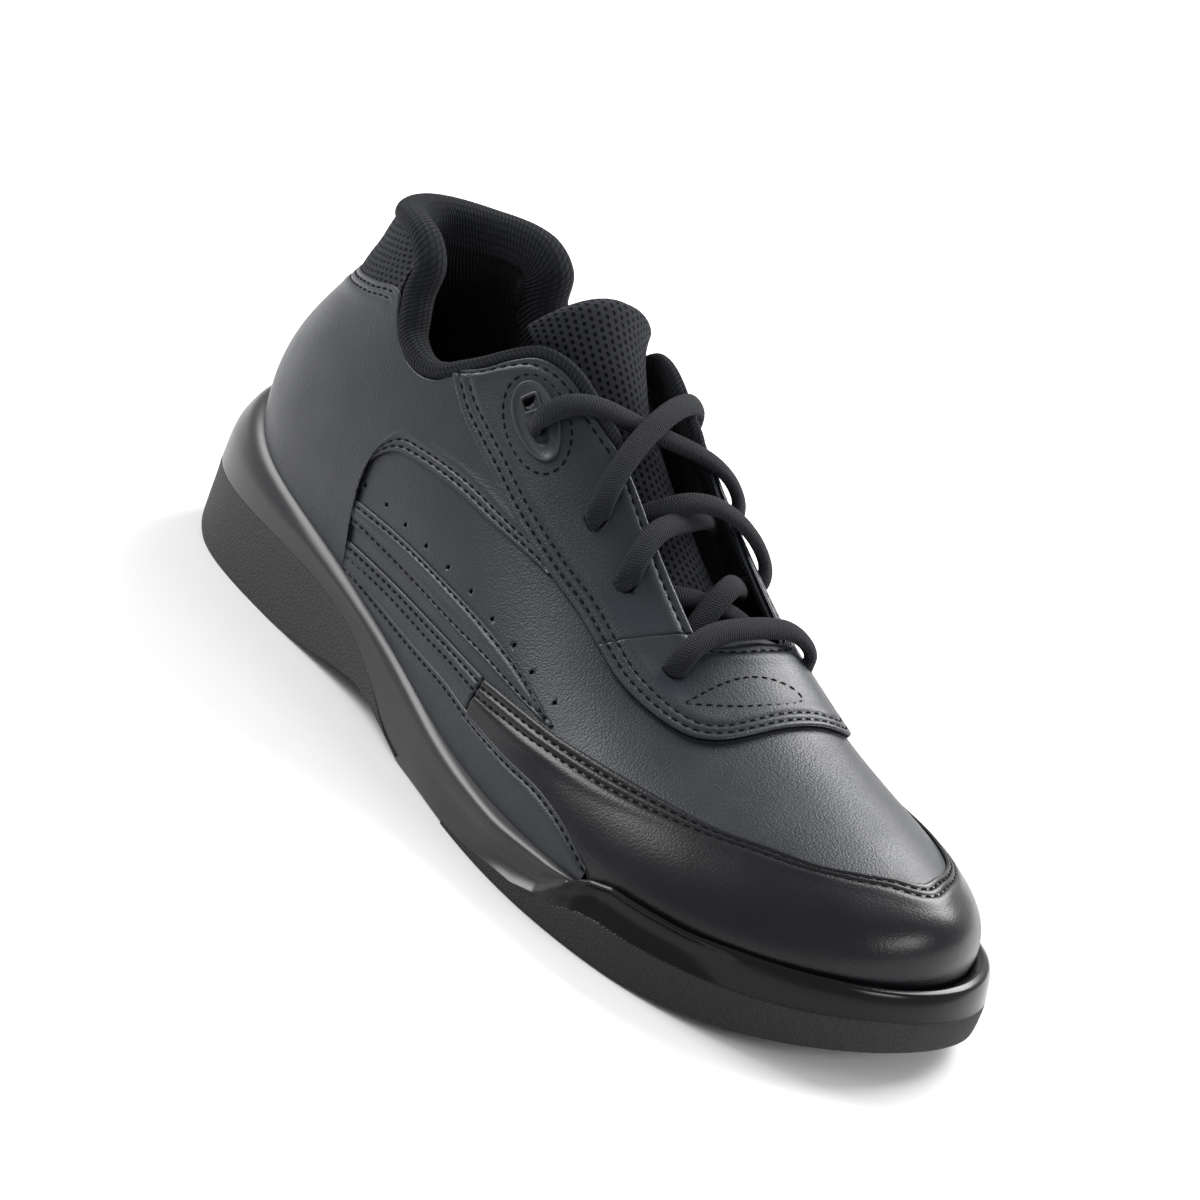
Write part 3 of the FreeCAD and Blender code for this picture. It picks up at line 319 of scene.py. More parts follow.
class Panel:
    """A piece of leather between two edges, each the same number of (station, height) points.

    finish maps the edges that show (low, high, start, end) to the distances of their seams; sewn gives, for
    an edge, the share of the seam that shows at each (station, height) of that edge."""

    def __init__(self, low, high, finish, place=side, depth=0.0, thick=LEATHER, pitch=1.6, sewn=None):
        self.place, self.depth, self.thick, self.finish = place, depth, thick, finish
        ends = [place(*np.array(edge, float).T) for edge in (low, high)]
        steps = sum(np.linalg.norm(np.diff(end, axis=0), axis=1) for end in ends) / 2
        marks = np.concatenate([[0], np.cumsum(np.maximum(steps, 0.5))])
        length = marks[-1]
        share = self.spread(np.array([length]), pitch, "start", "end")[0]
        low_line, high_line = (through(edge, marks, share * length) for edge in (low, high))
        rule = np.linspace(0, 1, 13)[None, :, None]
        lines = low_line[:, None] * (1 - rule) + high_line[:, None] * rule
        width = np.linalg.norm(np.diff(place(lines[..., 0], lines[..., 1]), axis=1), axis=2).sum(axis=1)
        across = self.spread(np.maximum(width, 0.5), pitch, "low", "high")
        where = low_line[:, None] * (1 - across[..., None]) + high_line[:, None] * across[..., None]
        self.station, self.height = where[..., 0], where[..., 1]
        surface = place(self.station, self.height)
        run = np.linalg.norm(np.diff(surface, axis=0), axis=2)
        run = np.concatenate([np.zeros((1, run.shape[1])), np.cumsum(run, axis=0)])
        self.distance = {"low": across * width[:, None], "high": (1 - across) * width[:, None],
                         "start": run, "end": run[-1] - run}
        self.sewn = {edge: 1.0 for edge in finish}
        for edge, share_of in (sewn or {}).items():
            line = {"low": low_line, "high": high_line}[edge]
            self.sewn[edge] = share_of(line[:, 0], line[:, 1])[:, None]
        middle = run[:, run.shape[1] // 2]
        self.uv = np.stack([np.broadcast_to(middle[:, None], across.shape), self.distance["low"]], axis=-1)

    def spread(self, width, pitch, first, last):
        """Shares from 0 to 1 across each width, bunched up at the edges that show."""
        zone = EDGE_STEPS[None] * np.minimum(1, 0.47 * width / EDGE_STEPS[-1])[:, None] / width[:, None]
        head = zone if first in self.finish else np.zeros((len(width), 1))
        tail = 1 - zone[:, ::-1] if last in self.finish else np.ones((len(width), 1))
        count = max(int((width.max() - 12) / pitch), 2)
        middle = np.linspace(0, 1, count + 2)[1:-1]
        return np.hstack([head, head[:, -1:] + (tail[:, :1] - head[:, -1:]) * middle, tail])

    def sink(self):
        """Relief of the top face."""
        return sum(relief(self.distance[edge], seams, self.sewn[edge]) for edge, seams in self.finish.items())

    def build(self, name, extra=0.0):
        """The piece's object; extra sinks the top face further."""
        top = self.place(self.station, self.height, self.depth + self.sink() + extra)
        bottom = self.place(self.station, self.height, self.depth + self.thick)
        return slab(name, top, bottom, self.uv)

    def seam(self, edge, distance):
        """Points and normals along one seam, sunk into its groove."""
        away, found = self.distance[edge], []
        upright = edge in ("low", "high")
        for i in range(away.shape[0 if upright else 1]):
            line = (i, slice(None)) if upright else (slice(None), i)
            order = np.argsort(away[line])
            if away[line].max() > distance and (np.isscalar(self.sewn[edge]) or self.sewn[edge][i] > 0.5):
                found.append([np.interp(distance, away[line][order], values[line][order])
                              for values in (self.station, self.height)])
        station, height = np.array(found).T
        points = self.place(station, height, self.depth + 0.55 * GROOVE)
        return points, outward(self.place, station, height)


# ------------------------------------------------------------------ stitches
STITCH_PITCH, STITCH_LONG, STITCH_WIDE = 3.0, 2.1, 0.62
STITCH_DIP, STITCH_REACH = 0.28, 0.6    # how deep its ends dip; how far ahead it looks for its direction
STITCHES = []


def stitch_template():
    """Points and faces of one stitch lying along x, with its ends dipping into the holes."""
    stops = np.array([-1, -0.85, -0.4, 0.4, 0.85, 1])
    girth = np.array([0.1, 0.7, 1, 1, 0.7, 0.1])
    turn = np.arange(6) * math.tau / 6
    points = np.empty((len(stops), len(turn), 3))
    points[..., 0] = stops[:, None] * STITCH_LONG / 2
    points[..., 1] = girth[:, None] * np.cos(turn) * STITCH_WIDE / 2
    points[..., 2] = girth[:, None] * np.sin(turn) * STITCH_WIDE * 0.4 - STITCH_DIP * stops[:, None] ** 4
    many = len(turn)
    faces = [[i * many + j, (i + 1) * many + j, (i + 1) * many + (j + 1) % many, i * many + (j + 1) % many]
             for i in range(len(stops) - 1) for j in range(many)]
    return points.reshape(-1, 3), np.array(faces)


def sew(points, normals, pitch=STITCH_PITCH):
    """Lays stitches along a line on the leather."""
    run = lengths(points)
    count = max(int((run[-1] - 1) / pitch), 1)
    at = (np.arange(count) + 0.5) * run[-1] / count
    ahead = unit(walked(at + STITCH_REACH, run, points) - walked(at - STITCH_REACH, run, points))
    up = unit(walked(at, run, normals))
    STITCHES.append((walked(at, run, points), ahead, unit(np.cross(up, ahead)), up))


def stitches_object(name):
    """All the stitches laid so far, as one mesh."""
    template, faces = stitch_template()
    where, ahead, across, up = (np.concatenate(parts) for parts in zip(*STITCHES))
    along_it, across_it, up_it = np.moveaxis(template[None, :, :, None], 2, 0)
    points = where[:, None] + ahead[:, None] * along_it + across[:, None] * across_it + up[:, None] * up_it
    every = faces[None] + (np.arange(len(where)) * len(template))[:, None, None]
    return mesh_object(name, points.reshape(-1, 3), every.reshape(-1, 4))


# ------------------------------------------------------------------ leather upper: edges
LEFT_RIGHT = (("lateral", lambda edge: edge), ("medial", mirrored))
BUTT, SEAM_GAP = 5.23, 0.012         # short seam where the mudguard meets the foxing strip
DOUBLE = (CLOSE_SEAM, FAR_SEAM)
LOW_STITCH = [(3.38, 0.010), (3.73, 0.024), (4.25, 0.050), (4.90, 0.092), (BUTT, 0.102)]
LOW_STITCH_FRONT = [(BUTT, 0.102), (5.83, 0.125), (6.28, 0.143), (6.62, 0.128), (6.88, 0.094), (7.10, 0.050),
                    (7.35, TUCK)]
STRIP_TOP = [(3.36, 0.074), (3.80, 0.105), (4.30, 0.140), (4.80, 0.176), (BUTT, 0.206)]
GUARD_TOP = [(BUTT, 0.206), (5.78, 0.263), (6.08, 0.294), (6.55, 0.350), (7.08, 0.406), (7.88, 0.475),
             (8.30, 0.531), (8.83, 0.600), (9.33, 0.713), (10.0, 0.860), (11, 0.960)]
GUARD_LOW = LOW_STITCH_FRONT + [(7.8, TUCK), (8.8, TUCK), (9.8, TUCK), (11, TUCK)]
REAR_SEAM = [(3.50, 0.655), (3.60, 0.620), (3.80, 0.569), (4.00, 0.541), (4.23, 0.519), (4.65, 0.494),
             (5.12, 0.500), (5.50, 0.519), (5.80, 0.525)]
STAY_TOP = [(3.55, 0.668), (3.72, 0.710), (3.90, 0.785), (4.06, 0.835), (4.30, 0.853), (4.65, 0.832),
            (5.00, 0.829), (5.55, 0.800), (6.17, 0.790)]
SADDLE_LOW = [(5.80, 0.525), (6.15, 0.531), (6.58, 0.569), (6.88, 0.619), (7.05, 0.690), (7.15, 0.794),
              (7.19, 0.910), (7.20, 1.0)]
SADDLE_HIGH = [(6.17, 0.790), (6.25, 0.802), (6.32, 0.830), (6.36, 0.870), (6.38, 0.910), (6.39, 0.940),
               (6.39, 0.970), (6.39, 1.0)]
STRIPE_LOW = [(3.34, 0.115), (3.83, 0.143), (4.60, 0.193), (5.18, 0.236), (5.68, 0.268), (5.99, 0.290)]
STRIPE_TOP = [(3.30, 0.178), (3.70, 0.205), (4.35, 0.243), (4.98, 0.284), (5.50, 0.308), (6.01, 0.306)]
PATCH_LOW = [(0, 0.665), (0.8, 0.678), (1.6, 0.715), (2.10, 0.765), (2.50, 0.800)]
PATCH_TOP = [(0, 1.02), (0.8, 1.02), (1.6, 1.02), (2.20, 1.02), (2.50, 0.93)]
COLLAR = [(0, 1.0), (1.25, 1.0), (2.15, 0.995), (2.47, 0.93), (2.54, 0.82), (2.70, 0.72), (2.83, 0.655),
          (3.08, 0.602), (3.28, 0.594), (3.45, 0.617), (3.57, 0.655)]
QUARTER_HIGH = [(0, 0.672), (1, 0.690), (2, 0.760), (2.46, 0.800), (2.66, 0.725), (2.83, 0.660),
                (3.00, 0.617), (3.12, 0.600), (3.28, 0.593), (3.43, 0.610), (3.55, 0.645), (3.85, 0.575),
                (4.25, 0.535), (4.72, 0.512), (5.16, 0.508)]
QUARTER_LOW = [(0, TUCK), (1, TUCK), (2, TUCK), (2.46, TUCK), (2.75, TUCK), (3.05, TUCK), (3.385, TUCK),
               (3.317, 0.109), (3.254, 0.206), (3.260, 0.290), (3.382, 0.351), (3.559, 0.381), (3.993, 0.408),
               (4.512, 0.437), (5.12, 0.493)]
LEAF = [(6.60, 0.65), (6.62, 0.79), (6.68, 0.93), (6.81, 1.05), (6.93, 1.06), (6.97, 0.96), (6.87, 0.81),
        (6.60, 0.65)]
PERFORATIONS = [(3.30, 0.225), (3.58, 0.238), (3.83, 0.244), (4.10, 0.256), (4.38, 0.275), (4.68, 0.294),
                (4.98, 0.306), (5.28, 0.325), (5.55, 0.331), (5.88, 0.344)]
EYELETS = [(5.12, 0.675), (5.60, 0.669), (6.33, 0.681)]     # second row to fourth row
PLATE, SLOT, HOLE = (4.33, 0.697), (4.34, 0.684), (4.15, 0.720)


def finish_piece(obj, body, material, slot, *nodes):
    """Gives a piece its material and body and hides the CAD nodes it stands for; slot is not used."""
    obj.name = obj.name.split(".")[0] + "_look"
    obj.data.materials.append(material)
    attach(obj, body)
    if nodes:
        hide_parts(*nodes)
    return obj


def leather(name, panel, material, slot, *nodes):
    """Builds a leather piece with its stitches."""
    for edge, seams in panel.finish.items():
        for seam in seams:
            sew(*panel.seam(edge, seam))
    return finish_piece(panel.build(name), "root", material, slot, *nodes)


# ------------------------------------------------------------------ materials
class Finish:
    """A material with a few procedural nodes."""

    def __init__(self, name, colour, rough, **sockets):
        self.material = bpy.data.materials.new(name)
        self.material.use_nodes = True
        self.tree = self.material.node_tree
        self.shader = self.tree.nodes["Principled BSDF"]
        for socket, value in {"Base Color": (*colour, 1), "Roughness": rough, **sockets}.items():
            self.feed(self.shader.inputs[socket.replace("_", " ")], value)

    def feed(self, socket, value):
        """Links an output to a socket, or sets the socket's own number."""
        if isinstance(value, bpy.types.NodeSocket):
            self.tree.links.new(value, socket)
        else:
            socket.default_value = value

    def node(self, kind, **inputs):
        """A new node; the inputs are named as on the node, with _ for a space."""
        made = self.tree.nodes.new(kind)
        for socket, value in inputs.items():
            self.feed(made.inputs[socket.replace("_", " ")], value)
        return made

    def math(self, operation, *values):
        """The output of one Math node."""
        made = self.tree.nodes.new("ShaderNodeMath")
        made.operation = operation
        for socket, value in zip(made.inputs, values):
            self.feed(socket, value)
        return made.outputs[0]

    def place(self):
        """Positions on the object, in millimetres."""
        where = self.tree.nodes.new("ShaderNodeTexCoord").outputs["Object"]
        made = self.node("ShaderNodeMapping", Vector=where)
        made.inputs["Scale"].default_value = (1 / MM,) * 3
        return made.outputs[0]

    def surface(self):
        """Positions along and across the surface, in millimetres."""
        made = self.tree.nodes.new("ShaderNodeUVMap")
        made.uv_map = "surface"
        return made.outputs[0]

    # Patterns: scale is in cells per millimetre.
    def noise(self, scale, detail):
        return self.node("ShaderNodeTexNoise", Vector=self.place(), Scale=scale, Detail=detail,
                         Roughness=0.5).outputs["Fac"]

    def cells(self, scale):
        return self.node("ShaderNodeTexVoronoi", Vector=self.place(), Scale=scale).outputs["Distance"]

    def ramp(self, value, low, high, first=0.0, last=1.0):
        """Eases from first to last as the value goes from low to high."""
        made = self.node("ShaderNodeMapRange", Value=value, From_Min=low, From_Max=high, To_Min=first,
                         To_Max=last)
        made.interpolation_type = "SMOOTHSTEP"
        return made.outputs[0]

    def bump(self, height, distance, strength=1.0):
        """Adds one layer of relief, its full height in millimetres."""
        made = self.node("ShaderNodeBump", Height=height, Distance=distance * MM, Strength=strength)
        before = self.shader.inputs["Normal"]
        if before.is_linked:
            self.tree.links.new(before.links[0].from_socket, made.inputs["Normal"])
        self.tree.links.new(made.outputs[0], before)
        return self

    def tint(self, value, dark, light):
        """Base colour between two colours, by a value from 0 to 1."""
        made = self.tree.nodes.new("ShaderNodeMix")
        made.data_type = "RGBA"
        made.inputs[6].default_value, made.inputs[7].default_value = (*dark, 1), (*light, 1)
        self.tree.links.new(value, made.inputs[0])
        self.tree.links.new(made.outputs[2], self.shader.inputs["Base Color"])
        return self

    def rough(self, value, low, high):
        """Roughness between two numbers, by a value from 0 to 1."""
        self.tree.links.new(self.ramp(value, 0, 1, low, high), self.shader.inputs["Roughness"])
        return self


def leather_finish(name, colour, rough, grain, specular):
    """Leather with fine grain and slightly worn patches."""
    made = Finish(name, colour, rough, Specular_IOR_Level=specular)
    wear = made.noise(0.035, 4)
    made.tint(made.ramp(wear, 0.3, 0.7), tuple(0.8 * c for c in colour), tuple(1.15 * c for c in colour))
    made.rough(made.noise(0.09, 5), rough - 0.07, rough + 0.07)
    made.bump(made.noise(0.16, 2), 0.10, 0.3)
    made.bump(made.ramp(made.cells(1.45), 0.0, 0.75), grain)
    made.bump(made.noise(2.6, 4), grain * 0.6)
    return made.material


def rubber_finish(name, colour, rough, stipple, masked=False, specular=0.4, metal=0.0):
    """Rubber, plastic and the like, stippled all over or where the piece's own mask says."""
    made = Finish(name, colour, rough, Specular_IOR_Level=specular, Metallic=metal)
    specks = made.math("ADD", made.math("MULTIPLY", made.ramp(made.cells(1.5), 0.1, 0.75, 1, 0), 0.6),
                       made.math("MULTIPLY", made.noise(1.9, 4), 0.7))
    made.bump(made.noise(0.06, 2), 0.3, 0.3)
    if masked:
        mask = made.tree.nodes.new("ShaderNodeAttribute")
        mask.attribute_name = "stipple"
        specks = made.math("MULTIPLY", specks, mask.outputs["Fac"])
        made.rough(mask.outputs["Fac"], rough, 0.70)
        made.tint(mask.outputs["Fac"], colour, (0.0230, 0.0235, 0.0245))
    if stipple:
        made.bump(specks, stipple)
    return made.material


def weave_coordinates(made, pitch_u, pitch_v):
    """Counts of the weave along and across the surface."""
    split = made.node("ShaderNodeSeparateXYZ", Vector=made.surface())
    return (made.math("DIVIDE", split.outputs[0], pitch_u), made.math("DIVIDE", split.outputs[1], pitch_v))


def mesh_finish(name, colour, pitch):
    """Coarse air mesh: a soft knit with staggered holes that are not cut but painted near-black, as painted
    shade inside them.
    """
    made = Finish(name, colour, 0.9, Sheen_Weight=0.02, Specular_IOR_Level=0.12)
    u, v = weave_coordinates(made, pitch, pitch * 0.86)
    row = made.math("FLOOR", v)
    shift = made.math("MULTIPLY", made.math("PINGPONG", row, 1.0), 0.5)
    in_u = made.math("SUBTRACT", made.math("FRACT", made.math("ADD", u, shift)), 0.5)
    in_v = made.math("SUBTRACT", made.math("FRACT", v), 0.5)
    square_u, square_v = (made.math("POWER", made.math("ABSOLUTE", part), 2.0) for part in (in_u, in_v))
    reach = made.math("SQRT", made.math("ADD", square_u, made.math("MULTIPLY", square_v, 1.5)))
    solid = made.ramp(reach, 0.20, 0.36)
    # the holes get a near-black colour: painted shade where the holes would lie in shadow
    made.tint(solid, (0.0008, 0.0008, 0.0010), colour)
    made.bump(solid, 0.9)
    made.bump(made.noise(3.2, 3), 0.25)
    return made.material


def knit_finish(name, colour, pitch=1.35):
    """Fine knit with slanting ribs, painted darker in the grooves between them as painted shade."""
    made = Finish(name, colour, 0.92, Sheen_Weight=0.03, Specular_IOR_Level=0.12)
    u, v = weave_coordinates(made, pitch, pitch)
    slant = made.math("ADD", u, made.math("MULTIPLY", v, 0.55))
    rib = made.math("ABSOLUTE", made.math("SINE", made.math("MULTIPLY", slant, math.pi)))
    loop = made.math("ABSOLUTE", made.math("SINE", made.math("MULTIPLY", v, 2.2)))
    loop = made.math("ADD", made.math("MULTIPLY", loop, 0.45), 0.55)
    yarn = made.math("MULTIPLY", made.math("POWER", rib, 0.6), loop)
    # the grooves between the ribs and loops are painted darker: painted shade
    made.tint(yarn, tuple(0.35 * c for c in colour), colour)
    made.bump(yarn, 0.55)
    made.bump(made.noise(3.0, 3), 0.2)
    return made.material


def braid_finish(name, colour):
    """Flat braid: herringbone ribs across the lace, painted darker between the ribs as painted shade."""
    made = Finish(name, colour, 0.85, Sheen_Weight=0.05, Specular_IOR_Level=0.2)
    u, v = weave_coordinates(made, 0.75, 1.6)
    slant = made.math("PINGPONG", v, 1.0)
    rib = made.math("ABSOLUTE", made.math("SINE", made.math("MULTIPLY", made.math("ADD", u, slant), math.pi)))
    # the grooves between the ribs are painted darker: painted shade
    made.tint(rib, tuple(0.4 * c for c in colour), colour)
    made.bump(made.math("POWER", rib, 0.7), 0.34)
    made.bump(made.noise(4.5, 3), 0.18)
    return made.material


LEATHER_GRAIN = leather_finish("grain_leather", (0.0105, 0.0130, 0.0185), 0.42, 0.042, 0.38)
LEATHER_GLOSS = leather_finish("gloss_leather", (0.0040, 0.0046, 0.0062), 0.31, 0.022, 0.30)
RUBBER_SMOOTH = rubber_finish("smooth_rubber", (0.0170, 0.0176, 0.0195), 0.33, 0)
RUBBER_STIPPLE = rubber_finish("stippled_rubber", (0.0300, 0.0306, 0.0320), 0.75, 0.34)
RUBBER_FRONT = rubber_finish("forefoot_rubber", (0.0022, 0.0023, 0.0027), 0.20, 0.34, masked=True,
                             specular=0.22)
AIR_MESH = mesh_finish("air_mesh", (0.0230, 0.0250, 0.0310), 2.2)
KNIT = knit_finish("knit_lining", (0.0150, 0.0165, 0.0205))
BRAID = braid_finish("lace_braid", (0.0130, 0.0145, 0.0195))
THREAD = Finish("thread", (0.0015, 0.0018, 0.0035), 0.75, Specular_IOR_Level=0.12).material
LACE_TIP = Finish("lace_tip", (0.02, 0.02, 0.022), 0.25).material
PLASTIC = rubber_finish("plate_plastic", (0.022, 0.024, 0.028), 0.42, 0.03)
SUEDE = rubber_finish("slide_suede", (0.10, 0.095, 0.088), 0.95, 0.2)
BOARD = rubber_finish("fibre_board", (0.20, 0.155, 0.10), 0.85, 0.05)
FOAM = rubber_finish("footbed_foam", (0.018, 0.018, 0.020), 0.9, 0.1)
STEEL = rubber_finish("shank_steel", (0.42, 0.42, 0.43), 0.32, 0.01, metal=1.0)


# ------------------------------------------------------------------ leather upper: pieces
def drill(spots, radius, reach=7.0):
    """A cutter of pins along the shell's normals."""
    turn = np.arange(28) * math.tau / 28
    points, faces = [], []
    for station, height in spots:
        centre, normal = side(station, height), outward(side, station, height)
        across = unit(np.cross(normal, (0.3, 0.2, 0.9)))
        ring = radius * (np.cos(turn)[:, None] * across + np.sin(turn)[:, None] * np.cross(normal, across))
        first = len(points) * len(turn)
        for end in (-reach, reach):
            points.append(centre + ring + normal * end)
        low = first + np.arange(len(turn))
        high = low + len(turn)
        faces += [list(low[::-1]), list(high)] + [
            [low[i], low[(i + 1) % len(turn)], high[(i + 1) % len(turn)], high[i]] for i in range(len(turn))]
    return mesh_object("pins", np.concatenate(points), faces, smooth=False)


def grows_from(edge, wide=0.05):
    """A seam that fades out where its edge drops to the feather line."""
    return lambda station, height: smooth_step((height - edge) / wide)


def on_both(points):
    """The places on the outside and the same ones on the inside."""
    return points + [(ROUND - station, height) for station, height in points]


def plate_axes(turn):
    """The middle of an eyelet plate, the way along it, the way across it, and its outward normal."""
    (plate,), (slot,), (hole,) = (turn([spot]) for spot in (PLATE, SLOT, HOLE))
    middle, normal = side(*plate), outward(side, *plate)
    run = side(*slot) - side(*hole)
    run = unit(run - normal * np.dot(run, normal))
    return middle, run, np.cross(normal, run), normal


GRAIN = (LEATHER_GRAIN, "grain_leather")
LOW_EDGE = LOW_STITCH + LOW_STITCH_FRONT[1:-1]      # where the arch panel ends, over its whole length
PLATE_SEAM_LONG, PLATE_SEAM_WIDE = 14.2, 8.6        # half sizes of the stitched oval round an eyelet plate


def heel_row(station, height):
    """The share of the quarter's top seam that shows: only the part under the heel patch."""
    return smooth_step((2.5 - np.abs(np.where(station > TOE, ROUND - station, station))) / 0.1)


def sew_round_plate(turn):
    """Sews the oval round one eyelet plate, solved in (station, height) round the plate's middle."""
    (at,), near = turn([PLATE]), 0.05
    slopes = np.stack([side(at[0] + near, at[1]) - side(at[0] - near, at[1]),
                       side(at[0], at[1] + near) - side(at[0], at[1] - near)]) / (2 * near)
    long_way, wide_way = plate_axes(turn)[1:3]
    angle = np.linspace(0, math.tau, 80)
    away = (np.outer(np.cos(angle) * PLATE_SEAM_LONG, long_way)
            + np.outer(np.sin(angle) * PLATE_SEAM_WIDE, wide_way))
    ring = np.array(at) + np.linalg.lstsq(slopes.T, away.T, rcond=None)[0].T
    sew(side(*ring.T, -0.62), outward(side, *ring.T), 2.7)


for side_name, turn in LEFT_RIGHT:
    leather("quarter_" + side_name, Panel(
        turn(QUARTER_LOW), turn(QUARTER_HIGH), {"low": DOUBLE, "high": DOUBLE},
        sewn={"low": grows_from(0.02), "high": heel_row}), *GRAIN, "quarter_" + side_name)
    leather("foxing_strip_" + side_name, Panel(
        turn(LOW_STITCH[:-1] + [(BUTT - SEAM_GAP, 0.102)]),
        turn(STRIP_TOP[:-1] + [(BUTT - SEAM_GAP, 0.2055)]), {"high": (1.7, 4.2), "end": ()}, depth=0.15),
        *GRAIN, "foxing_strip_" + side_name)
    leather("arch_panel_" + side_name, Panel(
        turn([(s, TUCK) for s, _ in LOW_EDGE]), turn([(s, h + 0.012) for s, h in LOW_EDGE]),
        {"high": (1.5,)}, depth=-0.15), *GRAIN, "arch_panel_" + side_name)
    leather("side_stripe_" + side_name, Panel(
        turn(STRIPE_LOW), turn(STRIPE_TOP), {"high": (1.6,), "low": (1.5,)}, depth=0.25),
        *GRAIN, "side_stripe_" + side_name)
    stay = leather("eyestay_" + side_name, Panel(
        turn(REAR_SEAM), turn(STAY_TOP), {"low": DOUBLE, "high": (2.4,), "end": ()}, depth=-0.55, thick=2.0),
        *GRAIN, "eyestay_" + side_name)
    punch(stay, drill(turn(EYELETS[:2] + [HOLE, SLOT]), 2.4))
    sew_round_plate(turn)

saddle = leather("throat_saddle", Panel(
    SADDLE_LOW + [(s, 2 - h) for s, h in reversed(SADDLE_LOW[:-1])],
    SADDLE_HIGH + [(s, 2 - h) for s, h in reversed(SADDLE_HIGH[:-1])],
    {"low": DOUBLE, "high": (2.2,), "start": (), "end": ()}, place=over, depth=-0.75, thick=2.2),
    *GRAIN, "throat_saddle")
punch(saddle, drill(on_both(EYELETS[2:]), 2.6))
leaf = through(LEAF, np.arange(len(LEAF)), np.linspace(0, len(LEAF) - 1, 60))
sew(over(*leaf.T, -0.78), outward(over, *leaf.T), 2.6)

guard_low = [(BUTT + SEAM_GAP, GUARD_LOW[0][1])] + GUARD_LOW[1:]
guard_top = [(BUTT + SEAM_GAP, 0.2065)] + GUARD_TOP[1:]
leather("mudguard", Panel(*(edge + mirrored(edge[:-1])[::-1] for edge in (guard_low, guard_top)),
                          {"high": DOUBLE, "start": (), "end": ()}),
        LEATHER_GLOSS, "gloss_leather", "mudguard")

# The vamp and both side panels are one piece of base leather, open at the throat.
BASE_DEPTH = 1.05
base_low = [(s, TUCK) for s in (3.05, 3.6, 4.2, 4.8, 5.4, 6.0, 6.6, 7.2, 7.8, 8.4, 9.0, 9.6, 10.2, 10.7)]
base = Panel(base_low, [(s, 2 - h) for s, h in base_low], {}, place=over, depth=BASE_DEPTH, pitch=1.3)
base_points = over(base.station, base.height, BASE_DEPTH)
base_faces = grid_faces(*base.station.shape)
throat = (base.station < 6.30) & (np.abs(base.height - 1) < 0.44)
base_faces = base_faces[~throat.ravel()[base_faces].any(axis=1)]
vamp = mesh_object("vamp", base_points.reshape(-1, 3), base_faces, base.uv.reshape(-1, 2))
probe = len(base_faces) // 2
probe_out = outward(over, base.station, base.height).reshape(-1, 3)[base_faces[probe][0]]
if np.dot(vamp.data.polygons[probe].normal[:], probe_out) < 0:
    vamp.data.flip_normals()
thickened(vamp, LEATHER)
punch(vamp, drill(on_both(PERFORATIONS), 0.62))
finish_piece(vamp, "root", *GRAIN, "vamp", "side_panel_lateral", "side_panel_medial")

patch = Panel(*([(-s, h) for s, h in reversed(edge)] + edge[1:] for edge in (PATCH_LOW, PATCH_TOP)), {},
              depth=0.35, thick=1.2)
patch_bulge = 0.9 * np.minimum(1, patch.distance["low"] / 5) * np.minimum(1, patch.distance["high"] / 5)
heel_patch = patch.build("heel_mesh_patch", -patch_bulge)
finish_piece(heel_patch, "root", AIR_MESH, "air_mesh", "heel_mesh_patch")
finish_piece(stitches_object("stitching"), "root", THREAD, "grain_leather")


# ------------------------------------------------------------------ eyelet plates
PLATE_LONG, PLATE_WIDE = 11.6, 5.9      # half sizes
PLATE_LIFT = 0.55                       # over the shell
PLATE_RINGS = [(1.0, -1.2), (1.0, 0.55), (0.985, 0.85), (0.94, 1.0), (0.88, 0.95), (0.83, 0.7), (0.80, 0.55),
               (0.6, 0.5), (0.3, 0.5), (0.0, 0.5)]      # share of the size, height
RIM_FROM, RIM_WIDE = 0.80, 6.2          # the rings inside this share are scaled, the ones outside inset
SQUARE = (-5.2, 1.9, 1.9, 0.35)         # hole: place along the plate, half length, half width, roundness
OBLONG = (2.2, 3.6, 2.0, 0.55)
FRAME_RINGS = [(0.05, 0.9), (0.1, 1.25), (0.45, 1.4), (0.85, 1.2), (1.0, 0.9)]     # outside the hole, height


def eyelet_plate(name, turn_side):
    """A domed oval plate with a raised rim, a framed square hole and a slot that the lace comes out of."""
    middle, run, across, normal = plate_axes(turn_side)
    turn = np.arange(96) * math.tau / 96
    cos, sin, count = np.cos(turn), np.sin(turn), len(turn)

    def ring(x, y, up):
        """Points at (along, across) the plate, at a height over the shell."""
        return middle + x[:, None] * run + y[:, None] * across + normal * up

    def of_rings(part, rings):
        """A piece whose columns run from ring to ring."""
        grid = np.stack(rings, axis=1)
        return mesh_object(part, grid.reshape(-1, 3), grid_faces(*grid.shape[:2], wrap=True),
                           np.zeros((grid.shape[0] * grid.shape[1], 2)))

    rings = []
    for share, up in PLATE_RINGS:
        inset, grow = (1 - max(share, RIM_FROM)) * RIM_WIDE, min(share / RIM_FROM, 1)
        x = bulge(cos, 0.95) * (PLATE_LONG - inset) * grow
        y = sin * (PLATE_WIDE - inset) * grow * (1 - 0.10 * cos)
        rings.append(ring(x, y, up + PLATE_LIFT))
    rings.append(ring(0 * cos, 0 * sin, -0.9))
    plate = welded(of_rings(name, rings), 0.02)
    for place, half_long, half_wide, power in (SQUARE, OBLONG):
        x, y = bulge(cos, power) * half_long + place, bulge(sin, power) * half_wide
        caps = [list(range(0, 2 * count, 2))[::-1], list(range(1, 2 * count, 2))]
        cutter = mesh_object("cutter", np.stack([ring(x, y, up) for up in (-4, 5)], axis=1).reshape(-1, 3),
                             grid_faces(count, 2, wrap=True).tolist() + caps, smooth=False)
        fix_normals(cutter.data)
        punch(plate, cutter)
    place, half = SQUARE[:2]
    rim = of_rings(name + "_frame", [
        ring(bulge(cos, 0.4) * (half + grow) + place, bulge(sin, 0.4) * (half + grow), up + 0.1)
        for grow, up in FRAME_RINGS])
    fix_normals(plate.data)
    fix_normals(rim.data)
    return plate, rim


